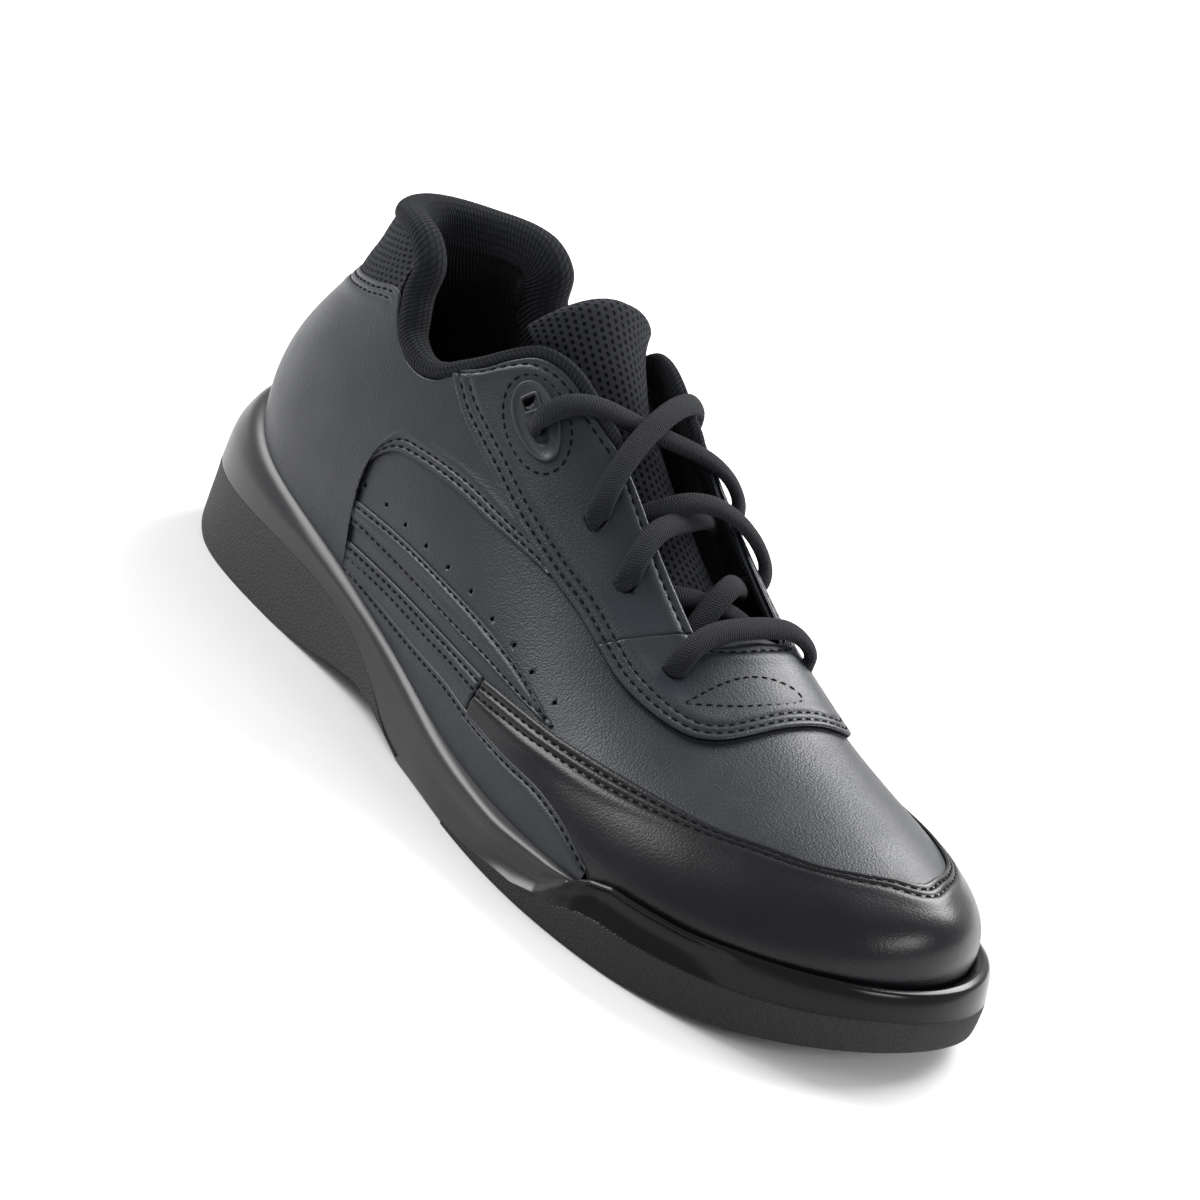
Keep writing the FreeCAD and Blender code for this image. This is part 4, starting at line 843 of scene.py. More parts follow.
for side_name, turn in LEFT_RIGHT:
    plate, rim = eyelet_plate("eyelet_plate_" + side_name, turn)
    finish_piece(plate, "root", PLASTIC, "plate_plastic", "eyelet_plate_" + side_name)
    finish_piece(rim, "root", PLASTIC, "plate_plastic")


# ------------------------------------------------------------------ sole
def line_at(line, x):
    """Height at x of a line of (x, height) points."""
    xs, zs = np.array(line).T
    return np.interp(x, xs, zs)


# Side profiles of the sole, each (x, height): the tread, the top of the heel rubber, the top of the forefoot
# rubber, and the recess floor that the insole board lies on.
GROUND_LINE = [(-160, 3.5), (-146, 1.6), (-135, 0.6), (-125, 0), (-80, 0), (-68, 1.1), (-58, 2.6),
               (-47, 4.6), (-36, 6), (-25, 4.7), (-14, 2.6), (-4, 0.9), (6, 0), (60, 0), (98, 0.4),
               (112, 1.7), (125, 3.4), (138, 6.2), (150, 9.5), (160, 13)]
HEEL_LINE = [(-160, 21.0), (-110, 21.0), (-85, 20.9), (-70, 20.4), (-58, 19.2), (-46, 17.0), (-38, 14.4),
             (-31, 11.5), (-25, 8.3), (-20, 5.4), (-13, 2.6), (-6, 1)]
BALL_LINE = [(24, 0.6), (32, 1.2), (40, 2), (50, 3.1), (58, 4), (66, 6), (69, 8.2), (72, 11), (75, 14),
             (78, 16.5), (82, 18.6), (88, 20.3), (110, 21.4), (125, 23.0), (140, 24.6), (160, 25.6)]
FLOOR_LINE = [(-160, 35), (-140, 32), (-110, 29), (-75, 25), (-35, 18.2), (5, 10.2), (42, 8.8), (75, 9.6),
              (103, 11.4), (126, 13.8), (144, 16.2), (160, 18)]
SPINE_STEP = 2.0                     # the closing faces meet at these steps along the middle line
CLOSING = (0.02, 0.12, 0.35, 0.7, 1.0)          # shares of the way from the wall to the middle line
PAD_RECESS_WIDER, PAD_RECESS_DEEP = 1.02, 1.9


def ring_piece(name, stations, levels, spine_low, spine_high, under, above, wrap=False, masks=None):
    """A closed piece from columns round the sole, each closed to the sole's middle line.

    levels gives (footprint points, feather points) -> points from the bottom edge to the top.
    under and above give the heights of the piece's lower and upper closing faces at x."""
    foot = along(SOLE_EDGE, stations)
    feather = shell(stations, 0.0)
    wall = levels(foot, feather)
    spine_x = np.round(np.clip(foot[:, 0], spine_low, spine_high) / SPINE_STEP) * SPINE_STEP
    middle = np.column_stack([spine_x, np.full(len(spine_x), CENTRE[1])])

    def closing(start, height_at):
        """Rows of points from one edge of the wall to the middle line."""
        flats = [start[:, :2] * (1 - t) + middle * t for t in CLOSING]
        return [np.column_stack([flat, height_at(flat[:, 0])]) for flat in flats]
    inner = closing(wall[:, 0], under)[::-1]
    outer = closing(wall[:, -1], above)
    points = np.concatenate([np.stack(inner, axis=1), wall, np.stack(outer, axis=1)], axis=1)
    up_run = np.concatenate([[0], np.cumsum(np.linalg.norm(np.diff(points, axis=1), axis=2).mean(axis=0))])
    faces = grid_faces(*points.shape[:2], wrap=wrap).tolist()
    if not wrap:
        index = np.arange(points.shape[0] * points.shape[1]).reshape(points.shape[:2])
        faces.append(index[0].tolist() + index[-1, ::-1].tolist())
    obj = mesh_object(name, points.reshape(-1, 3), faces, grid_uv(lengths(foot)[:, None], up_run[None]))
    if masks is not None:
        whole = np.ones(points.shape[:2])
        first, last = len(inner), len(inner) + wall.shape[1]
        whole[:, first:last] = masks(foot[:, 0])
        whole[:, last:] = whole[:, last - 1][:, None]
        layer = obj.data.attributes.new("stipple", "FLOAT", "POINT")
        layer.data.foreach_set("value", whole.ravel())
    welded(obj, 0.01)
    fix_normals(obj.data)
    return obj


def smooth_rows(knots, rows, x):
    """Each row's numbers at x, eased between the knots."""
    knots, rows = np.array(knots, float), np.array(rows, float)
    low = np.clip(np.searchsorted(knots, x, side="right") - 1, 0, len(knots) - 2)
    t = smooth_step((x - knots[low]) / (knots[low + 1] - knots[low]))[:, None]
    return rows[low] * (1 - t) + rows[low + 1] * t


def fine(rows, many=5):
    """More numbers between those of each row, on a smooth curve."""
    count = rows.shape[1]
    return through(rows.T, np.arange(count), np.linspace(0, count - 1, (count - 1) * many + 1)).T


def same_rows(row, count):
    """The row, once for each column of points."""
    return np.repeat(np.array(row)[None], count, axis=0)


def wall_of(foot, feather, fractions, rise, low, top):
    """Points up the sole's wall: fractions of the way from the feather line out to the footprint, each at its
    share of the rise from low to top."""
    fractions, rise = fine(fractions), fine(same_rows(rise, len(foot)))
    flat = feather[:, None, :2] + (foot - feather)[:, None, :2] * fractions[..., None]
    z = low[:, None] + (top - low)[:, None] * rise
    return np.concatenate([flat, z[..., None]], axis=-1)


# At each x below, the fractions from the piece's lower edge to its upper edge; RISE has their heights.
BAND_X = [-150, -100, -70, -35, 0, 40, 66, 78, 92, 160]
BAND_FRACTIONS = [
    [1.02, 1.01, 0.99, 0.92, 0.74, 0.46, 0.10, -0.3], [1.03, 1.01, 0.98, 0.90, 0.72, 0.45, 0.10, -0.3],
    [1.02, 1.03, 1.00, 0.95, 0.83, 0.50, 0.10, -0.3], [1.02, 1.03, 1.03, 1.00, 0.92, 0.58, 0.10, -0.3],
    [0.80, 0.92, 1.02, 1.03, 0.98, 0.64, 0.10, -0.3], [1.00, 0.84, 0.70, 0.72, 0.82, 0.62, 0.10, -0.3],
    [1.02, 0.66, 0.42, 0.42, 0.50, 0.45, 0.10, -0.3], [0.50, 0.40, 0.34, 0.34, 0.34, 0.30, 0.10, -0.3],
    [0.20, 0.20, 0.20, 0.20, 0.20, 0.20, 0.10, -0.3], [0.20, 0.20, 0.20, 0.20, 0.20, 0.20, 0.10, -0.3]]
BAND_RISE = [0.0, 0.14, 0.32, 0.52, 0.70, 0.88, 0.985, 1.0]
BAND_TUCK = 0.05                     # the fraction at which its underside turns up, inside the rubber's ledge
BAND_OVER, BAND_THINNEST = 0.5, 1.5  # top over the feather line; least height


def band_low(x):
    """Height of the band's lower edge at x: on the heel rubber, the ground or the forefoot rubber."""
    low = np.maximum(np.maximum(line_at(HEEL_LINE, x), line_at(BALL_LINE, x)), line_at(GROUND_LINE, x))
    low = low - 0.6 * smooth_step((24 - np.abs(x - 9)) / 8)
    return np.maximum(low - 0.6 * smooth_step((x - 50) / 16), 0.05)


def band_levels(foot, feather):
    """The smooth band: a round bead at the heel, a long cove at the arch, and flat behind the toe rubber."""
    x = foot[:, 0]
    top = feather[:, 2] + BAND_OVER
    low = np.minimum(band_low(x), top - BAND_THINNEST)
    fractions = smooth_rows(BAND_X, BAND_FRACTIONS, x)
    tucked = np.minimum(fractions[:, :1], BAND_TUCK)
    under = np.column_stack([feather[:, :2] + (foot - feather)[:, :2] * tucked, low])
    return np.concatenate([under[:, None], wall_of(foot, feather, fractions, BAND_RISE, low, top)], axis=1)


RUBBER_X = [24, 60, 70, 78, 86, 108, 124, 160]
RUBBER_FRACTIONS = [
    [0.93, 0.99, 1.00, 1.00, 1.00, 1.00, 1.00, 1.00, 0.98, 0.95],
    [0.93, 0.99, 1.01, 1.01, 1.01, 1.01, 1.01, 1.01, 1.01, 1.00],
    [0.93, 0.99, 1.01, 1.01, 1.01, 1.00, 1.00, 1.00, 1.00, 0.98],
    [0.93, 0.99, 1.01, 1.01, 1.00, 0.90, 0.74, 0.70, 0.76, 0.62],
    [0.93, 0.99, 1.01, 1.01, 0.98, 0.72, 0.46, 0.42, 0.78, 0.60],
    [0.93, 0.99, 1.01, 1.01, 0.98, 0.74, 0.52, 0.50, 0.86, 0.66],
    [0.90, 0.97, 1.01, 1.01, 0.99, 0.94, 0.88, 0.80, 0.68, 0.44],
    [0.88, 0.96, 1.00, 1.00, 0.98, 0.93, 0.86, 0.77, 0.66, 0.46]]
RUBBER_RISE = [0.0, 0.05, 0.20, 0.42, 0.52, 0.62, 0.76, 0.88, 0.965, 1.0]


LEDGE_IN, LEDGE_DROP = 0.15, 0.9     # the rubber's ledge under the band
THIN_EDGE, THINNEST = 0.3, 0.1


def rubber_levels(foot, feather):
    """The forefoot rubber: tread edge, channel at the ball, toe bumper, and a ledge under the band."""
    x = foot[:, 0]
    low, top = line_at(GROUND_LINE, x), line_at(BALL_LINE, x)
    wall = wall_of(foot, feather, smooth_rows(RUBBER_X, RUBBER_FRACTIONS, x), RUBBER_RISE, low,
                   np.maximum(top, low + THIN_EDGE))
    ledge = np.column_stack([feather[:, :2] + (foot - feather)[:, :2] * LEDGE_IN,
                             np.maximum(top - LEDGE_DROP, low + THINNEST)])
    return np.concatenate([wall, ledge[:, None]], axis=1)


def rubber_mask(x):
    """1 where the forefoot rubber is stippled: its lower half, and all of it behind the ball."""
    rough = 1 - smooth_step((fine(same_rows(RUBBER_RISE, len(x))) - 0.50) / 0.05)
    behind = smooth_step((76 - x) / 5)[:, None]
    mask = np.maximum(rough, behind)
    return np.hstack([mask, mask[:, -1:]])


HEEL_FRACTIONS = [0.90, 0.97, 1.00, 1.01, 1.01, 1.01, 1.02, 1.03, 1.01, 0.93]
HEEL_RISE = [0.0, 0.05, 0.14, 0.35, 0.55, 0.72, 0.84, 0.91, 0.965, 1.0]


def heel_levels(foot, feather):
    """The heel block: a nearly upright wall."""
    low, top = line_at(GROUND_LINE, foot[:, 0]), line_at(HEEL_LINE, foot[:, 0])
    return wall_of(foot, feather, same_rows(HEEL_FRACTIONS, len(foot)), HEEL_RISE, low,
                   np.maximum(top, low + THIN_EDGE))


def stations_where(test, count=1400):
    """Stations round the sole whose footprint passes the test, in one run."""
    stations = np.linspace(-TOE, TOE, count, endpoint=False)
    keep = test(along(SOLE_EDGE, stations)[:, 0])
    if keep[0]:
        stations = np.where(stations < 0, stations + ROUND, stations)
        order = np.argsort(stations)
        stations, keep = stations[order], keep[order]
    return stations[keep]


def floor_at(x):
    """Height at x of the recess floor that the insole board lies on."""
    return line_at(FLOOR_LINE, x)


def ground_at(x):
    """Height at x of the tread."""
    return line_at(GROUND_LINE, x)


def heel_top(x):
    """Height at x of the heel rubber, under the band."""
    return np.maximum(line_at(HEEL_LINE, x) - 0.05, ground_at(x) + THINNEST)


def rubber_top(x):
    """Height at x of the forefoot rubber, under the band and well below the recess floor."""
    return np.maximum(np.minimum(line_at(BALL_LINE, x) - 0.65, floor_at(x) - 3.0), ground_at(x) + THINNEST)


def band_bottom(x):
    """Height at x of the band's lower closing face."""
    return np.minimum(band_low(x), floor_at(x) - 2.6)


def band_top(x):
    """Height at x of the band's upper closing face, just under the insole board."""
    return floor_at(x) - 0.05


def slide_pad_room():
    """A cutter for the recess that the slide pad is glued into, a little wider than the CAD's pad."""
    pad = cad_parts["slide_sole_pad"]
    flat = [(pad.matrix_world @ vertex.co).to_2d() for vertex in pad.data.vertices]
    edge = np.array([flat[i][:] for i in convex_hull_2d(flat)]) / MM
    middle, count = (edge.min(axis=0) + edge.max(axis=0)) / 2, len(edge)
    edge = middle + (edge - middle) * PAD_RECESS_WIDER
    rims = [np.column_stack([edge, np.full(count, z)]) for z in (-1.0, PAD_RECESS_DEEP)]
    faces = [list(range(count))[::-1], list(range(count, 2 * count))] + [
        [i, (i + 1) % count, count + (i + 1) % count, count + i] for i in range(count)]
    room = mesh_object("pad_room", np.vstack(rims), faces, smooth=False)
    fix_normals(room.data)
    return room


HEEL_FRONT, BALL_BACK = -6, 24       # where the textured rubber stops, either side of the waist
SPINE_BACK, SPINE_FRONT = -108, 96   # ends of the middle line
heel = ring_piece("outsole_heel", stations_where(lambda x: x < HEEL_FRONT), heel_levels, SPINE_BACK,
                  HEEL_FRONT, ground_at, heel_top)
finish_piece(heel, "root", RUBBER_STIPPLE, "textured_rubber", "outsole_heel")
forefoot = ring_piece("outsole_forefoot", stations_where(lambda x: x > BALL_BACK), rubber_levels, BALL_BACK,
                      SPINE_FRONT, ground_at, rubber_top, masks=rubber_mask)
punch(forefoot, slide_pad_room())
finish_piece(forefoot, "root", RUBBER_FRONT, "textured_rubber", "outsole_forefoot")
band = ring_piece("midsole", np.linspace(0, ROUND, 1400, endpoint=False), band_levels, SPINE_BACK,
                  SPINE_FRONT, band_bottom, band_top, wrap=True)
finish_piece(band, "root", RUBBER_SMOOTH, "smooth_rubber", "midsole")

# ------------------------------------------------------------------ collar and lining
# Sections of the top line's edge as (up from the edge, in from the shell): the thick roll round the ankle,
# the thin piping along the eyestays, and the end that is tucked under the saddle.
ROLL = np.array([(-3.0, 1.3), (-1.2, 1.15), (0.0, 0.7), (0.35, -0.2), (1.2, -0.75), (2.6, -0.7), (3.9, 0.2),
                 (4.9, 1.9), (5.2, 4.0), (4.8, 6.3), (3.4, 8.2), (1.2, 9.5), (-2.0, 10.2), (-6.0, 10.4)])
PIPING = np.array([(-3.0, 1.3), (-1.2, 1.15), (-0.2, 0.8), (0.1, 0.2), (0.7, -0.35), (1.6, -0.5), (2.6, -0.1),
                   (3.3, 0.7), (3.5, 1.8), (3.2, 3.0), (2.2, 4.0), (0.6, 4.6), (-2.0, 4.9), (-6.0, 5.0)])
HIDDEN = np.array([(-3.0, 1.3), (-2.2, 1.3), (-1.4, 1.3), (-1.0, 1.35), (-0.8, 1.45), (-0.7, 1.6),
                   (-0.65, 1.75), (-0.65, 1.9), (-0.7, 2.05), (-0.8, 2.2), (-1.0, 2.35), (-1.4, 2.5),
                   (-3.0, 2.6), (-6.0, 2.7)])
LINING_IN, LINING_THICK = 5.4, 0.8   # depth of the lining under the shell
EASED = 5                            # rows over which the roll's section turns into the lining
half_edge = COLLAR + STAY_TOP[1:] + [(6.35, 0.775)]
edge_points = [(-s, h) for s, h in reversed(half_edge[1:])] + half_edge
edge_marks = lengths(side(*np.array(edge_points).T))
edge = through(edge_points, edge_marks, np.linspace(0, edge_marks[-1], 560))
edge_at = side(*edge.T)
edge_run = np.gradient(edge_at, axis=0)
edge_out = outward(side, *edge.T)
edge_up = unit(np.cross(edge_out, edge_run))
edge_up *= np.sign(np.sum(edge_up * (side(edge[:, 0], edge[:, 1] + 0.01) - edge_at), axis=1))[:, None]
edge_up = unit(blurred(edge_up, 6))
thin = smooth_step((np.abs(edge[:, 0]) - 3.40) / 0.5)[:, None, None]
fine_mark = np.linspace(0, len(ROLL) - 1, 3 * (len(ROLL) - 1) + 1)
gone = smooth_step((np.abs(edge[:, 0]) - 4.75) / 0.35)[:, None, None]
roll_lines = [through(line, np.arange(len(line)), fine_mark)[None] for line in (ROLL, PIPING, HIDDEN)]
profile = roll_lines[0] * (1 - thin) + (roll_lines[1] * (1 - gone) + roll_lines[2] * gone) * thin
roll = edge_at[:, None] + edge_up[:, None] * profile[..., :1] - edge_out[:, None] * profile[..., 1:]
down = np.linspace(0.08, 1, 14)
lining_height = edge[:, 1:] * (1 - down) + TUCK * down
below = side(np.broadcast_to(edge[:, :1], lining_height.shape), lining_height,
             LINING_IN + (1 - thin[:, 0]) * 5.0 * smooth_step(1 - down / 0.55) - thin[:, 0] * 0.3
             - gone[:, 0] * 2.4 * smooth_step(1 - down / 0.4))
roll_end = roll[:, -1:]
easing = smooth_step(np.linspace(0.1, 1, EASED))[None, :, None]
below[:, :EASED] = roll_end + (below[:, :EASED] - roll_end) * easing
collar_points = np.concatenate([roll, below], axis=1)
across_run = np.concatenate([np.zeros((len(edge), 1)), np.cumsum(
    np.linalg.norm(np.diff(collar_points, axis=1), axis=2), axis=1)], axis=1)
collar = mesh_object("collar_lining", collar_points.reshape(-1, 3), grid_faces(*collar_points.shape[:2]),
                     grid_uv(lengths(edge_at)[:, None], across_run))
fix_normals(collar.data)
thickened(collar, LINING_THICK)
finish_piece(collar, "root", KNIT, "knit_lining", "lining_quarters", "collar_rim", "collar_padding")

# ------------------------------------------------------------------ footbed
BED_INSET, BED_UNDER = 7.4, 2.25     # from the feather line; over the recess floor
BED_STEPS = [(0.0, 0.0), (0.0, 2.6), (0.5, 4.3), (1.6, 5.0), (3.0, 4.9), (6.0, 4.3), (11.0, 3.7)]    # in, up
BED_MIDDLE = 3.6                     # its height inside the raised edge
floor_marks, floor_heights = [x for x, _ in FLOOR_LINE], [[z] for _, z in FLOOR_LINE]
bed_stations = np.linspace(0, ROUND, 360, endpoint=False)
bed_edge = shell(bed_stations, 0)[:, :2]
bed_run = unit(shell(bed_stations + 0.01, 0)[:, :2] - shell(bed_stations - 0.01, 0)[:, :2])
bed_in = np.column_stack([-bed_run[:, 1], bed_run[:, 0]])
bed_middle = np.column_stack([np.clip(bed_edge[:, 0], -105, 100), np.full(len(bed_edge), CENTRE[1] + 1)])
rings = [bed_edge + bed_in * (BED_INSET + inset) for inset, _ in BED_STEPS]
rises = [rise for _, rise in BED_STEPS]
for part_way in (0.35, 0.7, 1.0):
    rings.append(rings[len(BED_STEPS) - 1] * (1 - part_way) + bed_middle * part_way)
    rises.append(BED_MIDDLE)
rings, rises = [bed_middle] + rings, [0.0] + rises
bed_points = np.stack([
    np.column_stack([flat, through(floor_heights, floor_marks, flat[:, 0])[:, 0] + BED_UNDER + rise])
    for flat, rise in zip(rings, rises)], axis=1)
bed = mesh_object("footbed_pad", bed_points.reshape(-1, 3), grid_faces(*bed_points.shape[:2], wrap=True),
                  bed_points[..., :2].reshape(-1, 2))
welded(bed, 0.02)
fix_normals(bed.data)
finish_piece(bed, "footbed", FOAM, "footbed_foam", "footbed")

# ------------------------------------------------------------------ tongue
# From the sewn base to the tip: x, z, half width, and how far the sides drop below the middle.
TONGUE = np.array([(64, 47, 16.4, 5), (36, 62, 16.9, 9), (8, 79, 16.9, 12), (-16, 97.5, 15.9, 15),
                   (-38, 120.5, 23.6, 9)], float)
TONGUE_MIDDLE, TONGUE_LEAN, TONGUE_THICK = 5.6, 4.6, 6.6
TIP_FROM, TIP_ROUND = 0.85, 6.0      # where the tip's corners start to round off, and by how much
PUFF_LIMIT = 1.6                     # how far the pressure may move a point, in millimetres
PUFF_PRESSURE, PUFF_FRAMES, TENSION = 3.0, 14, 12


def tongue_at(share, across, depth):
    """Points at a share of the tongue's length, from -1 to 1 across it, at a depth below its face."""
    marks = lengths(TONGUE[:, :2])
    marks /= marks[-1]
    flat = share.ravel()
    x, z, half, drop = through(TONGUE, marks, flat).T
    ahead = through(TONGUE, marks, np.minimum(flat + 0.01, 1))
    behind = through(TONGUE, marks, np.maximum(flat - 0.01, 0))
    run = unit(np.column_stack([ahead[:, 0] - behind[:, 0], 0 * x, ahead[:, 1] - behind[:, 1]]))
    out = np.column_stack([run[:, 2], 0 * x, -run[:, 0]])
    across, depth = across.ravel(), depth.ravel()
    middle = TONGUE_MIDDLE - TONGUE_LEAN * flat ** 2
    lean = np.arctan(2 * drop * across / half)[:, None]
    away = out * np.cos(lean) + np.array([0, 1, 0]) * np.sin(lean)
    tip = (TIP_ROUND * (np.maximum(flat - TIP_FROM, 0) / (1 - TIP_FROM)) ** 2 * across ** 2)[:, None]
    spots = (CENTRE + np.column_stack([x, middle + half * across, z]) - out * (drop * across ** 2)[:, None]
             - run * tip - away * depth[:, None])
    return spots.reshape(share.shape + (3,))


def puff(obj, rest_shape, held):
    """Swells a closed piece with Cloth, its held points fixed, and keeps every point within the limit."""
    group = obj.vertex_groups.new(name="sewn")
    group.add(held, 1.0, "REPLACE")
    cloth = obj.modifiers.new("cloth", "CLOTH")
    cloth.settings.use_pressure = True
    cloth.settings.uniform_pressure_force = PUFF_PRESSURE
    cloth.settings.effector_weights.gravity = 0
    cloth.settings.vertex_group_mass = "sewn"
    cloth.settings.tension_stiffness = TENSION
    cloth.settings.quality = 5
    cloth.point_cache.frame_end = PUFF_FRAMES
    for frame_number in range(1, PUFF_FRAMES + 1):
        bpy.context.scene.frame_set(frame_number)
    baked(obj)
    bpy.context.scene.frame_set(1)
    puffed = np.empty(len(obj.data.vertices) * 3)
    obj.data.vertices.foreach_get("co", puffed)
    moved = puffed.reshape(-1, 3) / MM - rest_shape
    far = np.linalg.norm(moved, axis=1, keepdims=True)
    moved *= np.minimum(1, PUFF_LIMIT / np.maximum(far, 1e-6))
    obj.data.vertices.foreach_set("co", ((rest_shape + moved) * MM).ravel())
    obj.data.update()
    print("%s cloth: moved up to %.2f mm, kept to %.2f" % (obj.name, far.max(), PUFF_LIMIT))


turn = np.arange(72) * math.tau / 72
share = np.linspace(0, 1, 90)
round_across = bulge(np.cos(turn), 0.8)
end_close = np.sqrt(np.clip(1 - ((share - 0.965) / 0.035).clip(0, 1) ** 2, 0, 1))
quilt = 1 + 0.05 * np.sin(share * 40)[:, None]
depth = TONGUE_THICK / 2 - bulge(np.sin(turn), 0.62)[None] * (TONGUE_THICK / 2) * (
    0.25 + 0.75 * end_close[:, None]) * quilt
tongue_points = tongue_at(*np.broadcast_arrays(share[:, None], round_across[None], depth))
tongue_uv = grid_uv(lengths(tongue_points[:, 18])[None], lengths(tongue_points[45])[:, None])
columns, rows = len(turn), len(share)
count = columns * rows
index = np.arange(count).reshape(columns, rows)
caps = [[count, index[(i + 1) % columns, 0], index[i, 0]] for i in range(columns)] + [
    [count + 1, index[i, -1], index[(i + 1) % columns, -1]] for i in range(columns)]
rest_shape = np.vstack([tongue_points.transpose(1, 0, 2).reshape(-1, 3), tongue_points[0].mean(axis=0),
                        tongue_points[-1].mean(axis=0)])
tongue = mesh_object("tongue", rest_shape, grid_faces(columns, rows, wrap=True).tolist() + caps,
                     np.vstack([tongue_uv, np.zeros((2, 2))]))
fix_normals(tongue.data)
sewn_edge = (np.abs(round_across)[:, None] > 0.96) | (share[None] < 0.04) | (share[None] > 0.985)
puff(tongue, rest_shape, np.flatnonzero(sewn_edge.ravel()).tolist() + [count, count + 1])
finish_piece(tongue, "tongue", AIR_MESH, "air_mesh", "tongue_face", "tongue_foam", "tongue_lining")

# ------------------------------------------------------------------ lace
# Control points of the lace's middle line, given one by one.
LACE_ROUTE = [
    # the end tucked in along the outside
    (47.6, -30.1, 37), (33.4, -30, 39.9), (19.2, -28.4, 44.8), (4.3, -25.8, 51.9), (-11.2, -22.5, 61.6),
    (-23, -18.8, 72.8),
    # out of the outer plate's slot, across, and in at the second eyelet inside
    (-27.4, -16.2, 84.3), (-23.2, -24.1, 91.3), (-18.4, -14.7, 100.6), (-9.6, 4.9, 95.8),
    (-0.2, 24.3, 92.4), (6, 32.1, 81.6), (3.6, 23.4, 75.6),
    # up through the throat, across, and in at the third eyelet outside
    (8.2, 17, 81.2), (12.2, 5, 81.8), (15.9, -8.4, 80.8), (22.2, -18.1, 70.6), (19, -12.7, 63.3),
    # across under the eyestays and out at the fourth eyelet inside
    (23.8, -4.7, 67.2), (31.6, 8, 68), (37.6, 20, 62.9), (45.5, 25.5, 54.2), (48.2, 31.8, 61.6),
    # the bottom bar, in at the fourth eyelet outside
    (45.4, 23.5, 68.8), (45, 9.5, 69.4), (44.8, -6.5, 67.4), (47.5, -16.7, 60.2), (44.5, -11.9, 51.9),
    # across under the eyestays and out at the third eyelet inside
    (36.6, -4.5, 61), (31.6, 8.5, 74), (26.2, 18.1, 71), (20.8, 24.5, 66.1), (23.2, 31.8, 72),
    # across, down into the throat, and out at the second eyelet outside
    (16.8, 24.3, 83), (11.6, 9, 88.6), (6.2, -4.9, 79.6), (1.6, -12.7, 72.8), (5.4, -19.5, 79.4),
    # across, and in at the inner plate's slot
    (-1.4, -9.9, 92.4), (-9.6, 7.5, 102.6), (-18.4, 26.1, 101.6), (-23.2, 32.5, 91.6),
    (-25.8, 24.5, 87.2),
    # the end tucked in along the inside
    (-21.7, 25.3, 75.9), (-9.4, 26.1, 64.5), (6.4, 28.5, 55.3), (21.3, 30.7, 48.6), (35.4, 32.7, 43.8),
    (49.1, 33.3, 40.6),
]
LACE_WIDE, LACE_THICK = 6.3, 3.5
LACE_BACK, LACE_MIDDLE, LACE_BELOW = 16, 7, 34     # the broad face turns away from a point placed so


def smooth_route(places):
    """Points along a quadratic NURBS curve on the given places."""
    curve = bpy.data.curves.new("route", "CURVE")
    curve.dimensions = "3D"
    spline = curve.splines.new("NURBS")
    spline.points.add(len(places) - 1)
    for point, place in zip(spline.points, places):
        point.co = (*[c * MM for c in place], 1)
    spline.order_u = 3
    spline.use_endpoint_u = True
    curve.resolution_u = 24
    holder = bpy.data.objects.new("route", curve)
    line = bpy.data.meshes.new_from_object(holder)
    bpy.data.objects.remove(holder)
    return np.array([vertex.co[:] for vertex in line.vertices]) / MM


path = smooth_route(LACE_ROUTE)
run = lengths(path)
lace_long = run[-1]
at = np.linspace(0, lace_long, 1100)
path = walked(at, run, path)
ahead = unit(np.gradient(path, axis=0))
core = np.column_stack([path[:, 0] - LACE_BACK, np.full(len(path), LACE_MIDDLE), path[:, 2] - LACE_BELOW])
flat_up = unit(path - core)
flat_up = unit(flat_up - ahead * np.sum(flat_up * ahead, axis=1)[:, None])
flat_up = blurred(flat_up, 8)
flat_up = unit(flat_up - ahead * np.sum(flat_up * ahead, axis=1)[:, None])
wide_way = np.cross(ahead, flat_up)
around = np.arange(20) * math.tau / 20
tube = (path[:, None] + wide_way[:, None] * (np.cos(around) * LACE_WIDE / 2)[None, :, None]
        + flat_up[:, None] * (bulge(np.sin(around), 0.85) * LACE_THICK / 2)[None, :, None])
index = np.arange(len(around) * len(path)).reshape(len(around), len(path))
lace_faces = grid_faces(len(around), len(path), wrap=True).tolist() + [index[:, 0], index[::-1, -1]]
lace = mesh_object("lace", tube.transpose(1, 0, 2).reshape(-1, 3), lace_faces,
                   grid_uv(at[None], (around / math.tau * 16.0)[:, None]))
fix_normals(lace.data)
finish_piece(lace, "root", BRAID, "lace_braid", "lace")

# ------------------------------------------------------------------ pieces that stay as the CAD made them
CAD_FINISH = {"slide_sole_pad": SUEDE, "shank": STEEL, "insole_board": BOARD, "heel_counter": BOARD,
              "toe_puff": BOARD, "lining_vamp": KNIT, "lace_aglets": LACE_TIP}
for name, material in CAD_FINISH.items():
    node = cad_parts[name]
    if not node.material_slots:
        node.data.materials.append(material)
    for material_slot in node.material_slots:
        material_slot.material = material

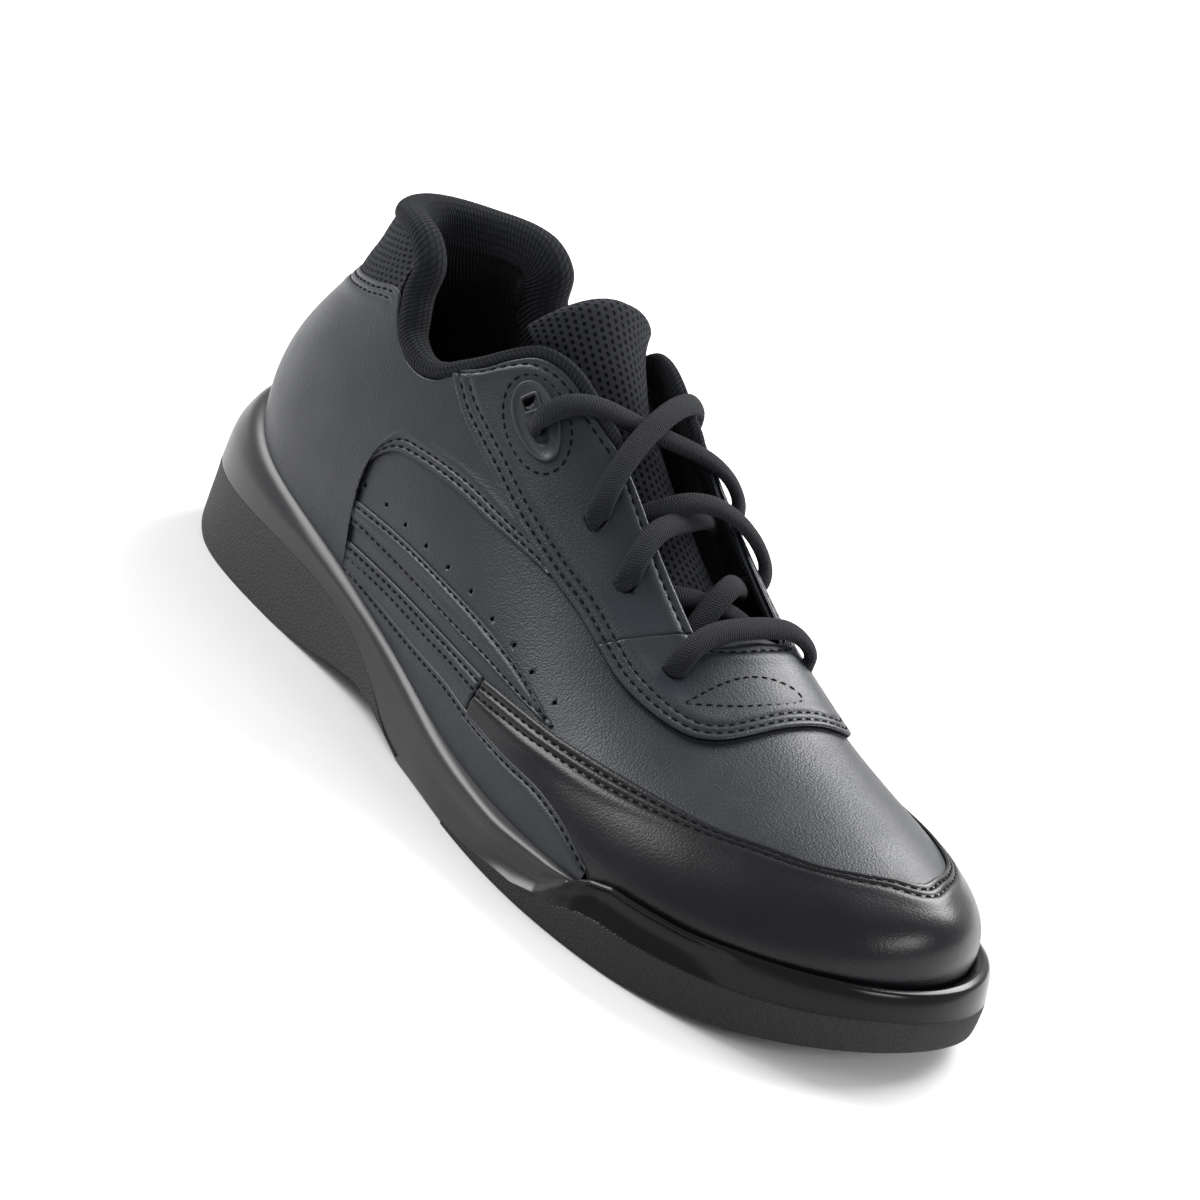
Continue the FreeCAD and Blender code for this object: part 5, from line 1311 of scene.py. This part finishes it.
# ------------------------------------------------------------------ studio
floor_mesh = bpy.data.meshes.new("floor")
floor_mesh.from_pydata([(-6, -6, 0), (6, -6, 0), (6, 6, 0), (-6, 6, 0)], [], [(0, 1, 2, 3)])
floor = bpy.data.objects.new("floor", floor_mesh)
bpy.context.scene.collection.objects.link(floor)
floor.data.materials.append(Finish("pale_floor", (0.86, 0.86, 0.86), 0.75, Specular_IOR_Level=0.2).material)

world = bpy.data.worlds.new("studio")
world.use_nodes = True
world.node_tree.nodes["Background"].inputs["Color"].default_value = (1, 1, 1, 1)
world.node_tree.nodes["Background"].inputs["Strength"].default_value = 0.55
bpy.context.scene.world = world


def softbox(name, place, size_m, power, aim=(0.0, 0.0, 0.05)):
    """A square soft light at a place, aimed at the shoe."""
    light = bpy.data.lights.new(name, "AREA")
    light.shape, light.size, light.energy = "SQUARE", size_m, power
    obj = bpy.data.objects.new(name, light)
    obj.location = place
    obj.rotation_euler = (Vector(aim) - Vector(place)).to_track_quat("-Z", "Y").to_euler()
    bpy.context.scene.collection.objects.link(obj)


softbox("key", (-1.10, -0.55, 1.00), 0.8, 22)
softbox("back", (-0.15, 1.00, 0.95), 0.8, 24)
softbox("front", (1.15, 0.25, 0.60), 0.4, 5)

AZIMUTH, ELEVATION, ROLL_BACK = math.radians(43.6), math.radians(20.84), math.radians(-21.4)
TARGET, DISTANCE = Vector((-3.2, 2.5, 49.95)) * MM, 1.172
back = Vector((math.sin(AZIMUTH) * math.cos(ELEVATION), -math.cos(AZIMUTH) * math.cos(ELEVATION),
               math.sin(ELEVATION)))
right = Vector((math.cos(AZIMUTH), math.sin(AZIMUTH), 0))
up = back.cross(right)
rolled_right = right * math.cos(ROLL_BACK) - up * math.sin(ROLL_BACK)
rolled_up = right * math.sin(ROLL_BACK) + up * math.cos(ROLL_BACK)
lens = bpy.data.cameras.new("camera")
lens.lens, lens.sensor_width = 135, 36
camera = bpy.data.objects.new("camera", lens)
rotation = Matrix((rolled_right, rolled_up, back)).transposed()
camera.rotation_euler = rotation.to_euler()
camera.location = TARGET + back * DISTANCE
bpy.context.scene.collection.objects.link(camera)
bpy.context.scene.camera = camera
bpy.context.scene.view_settings.view_transform = "Standard"
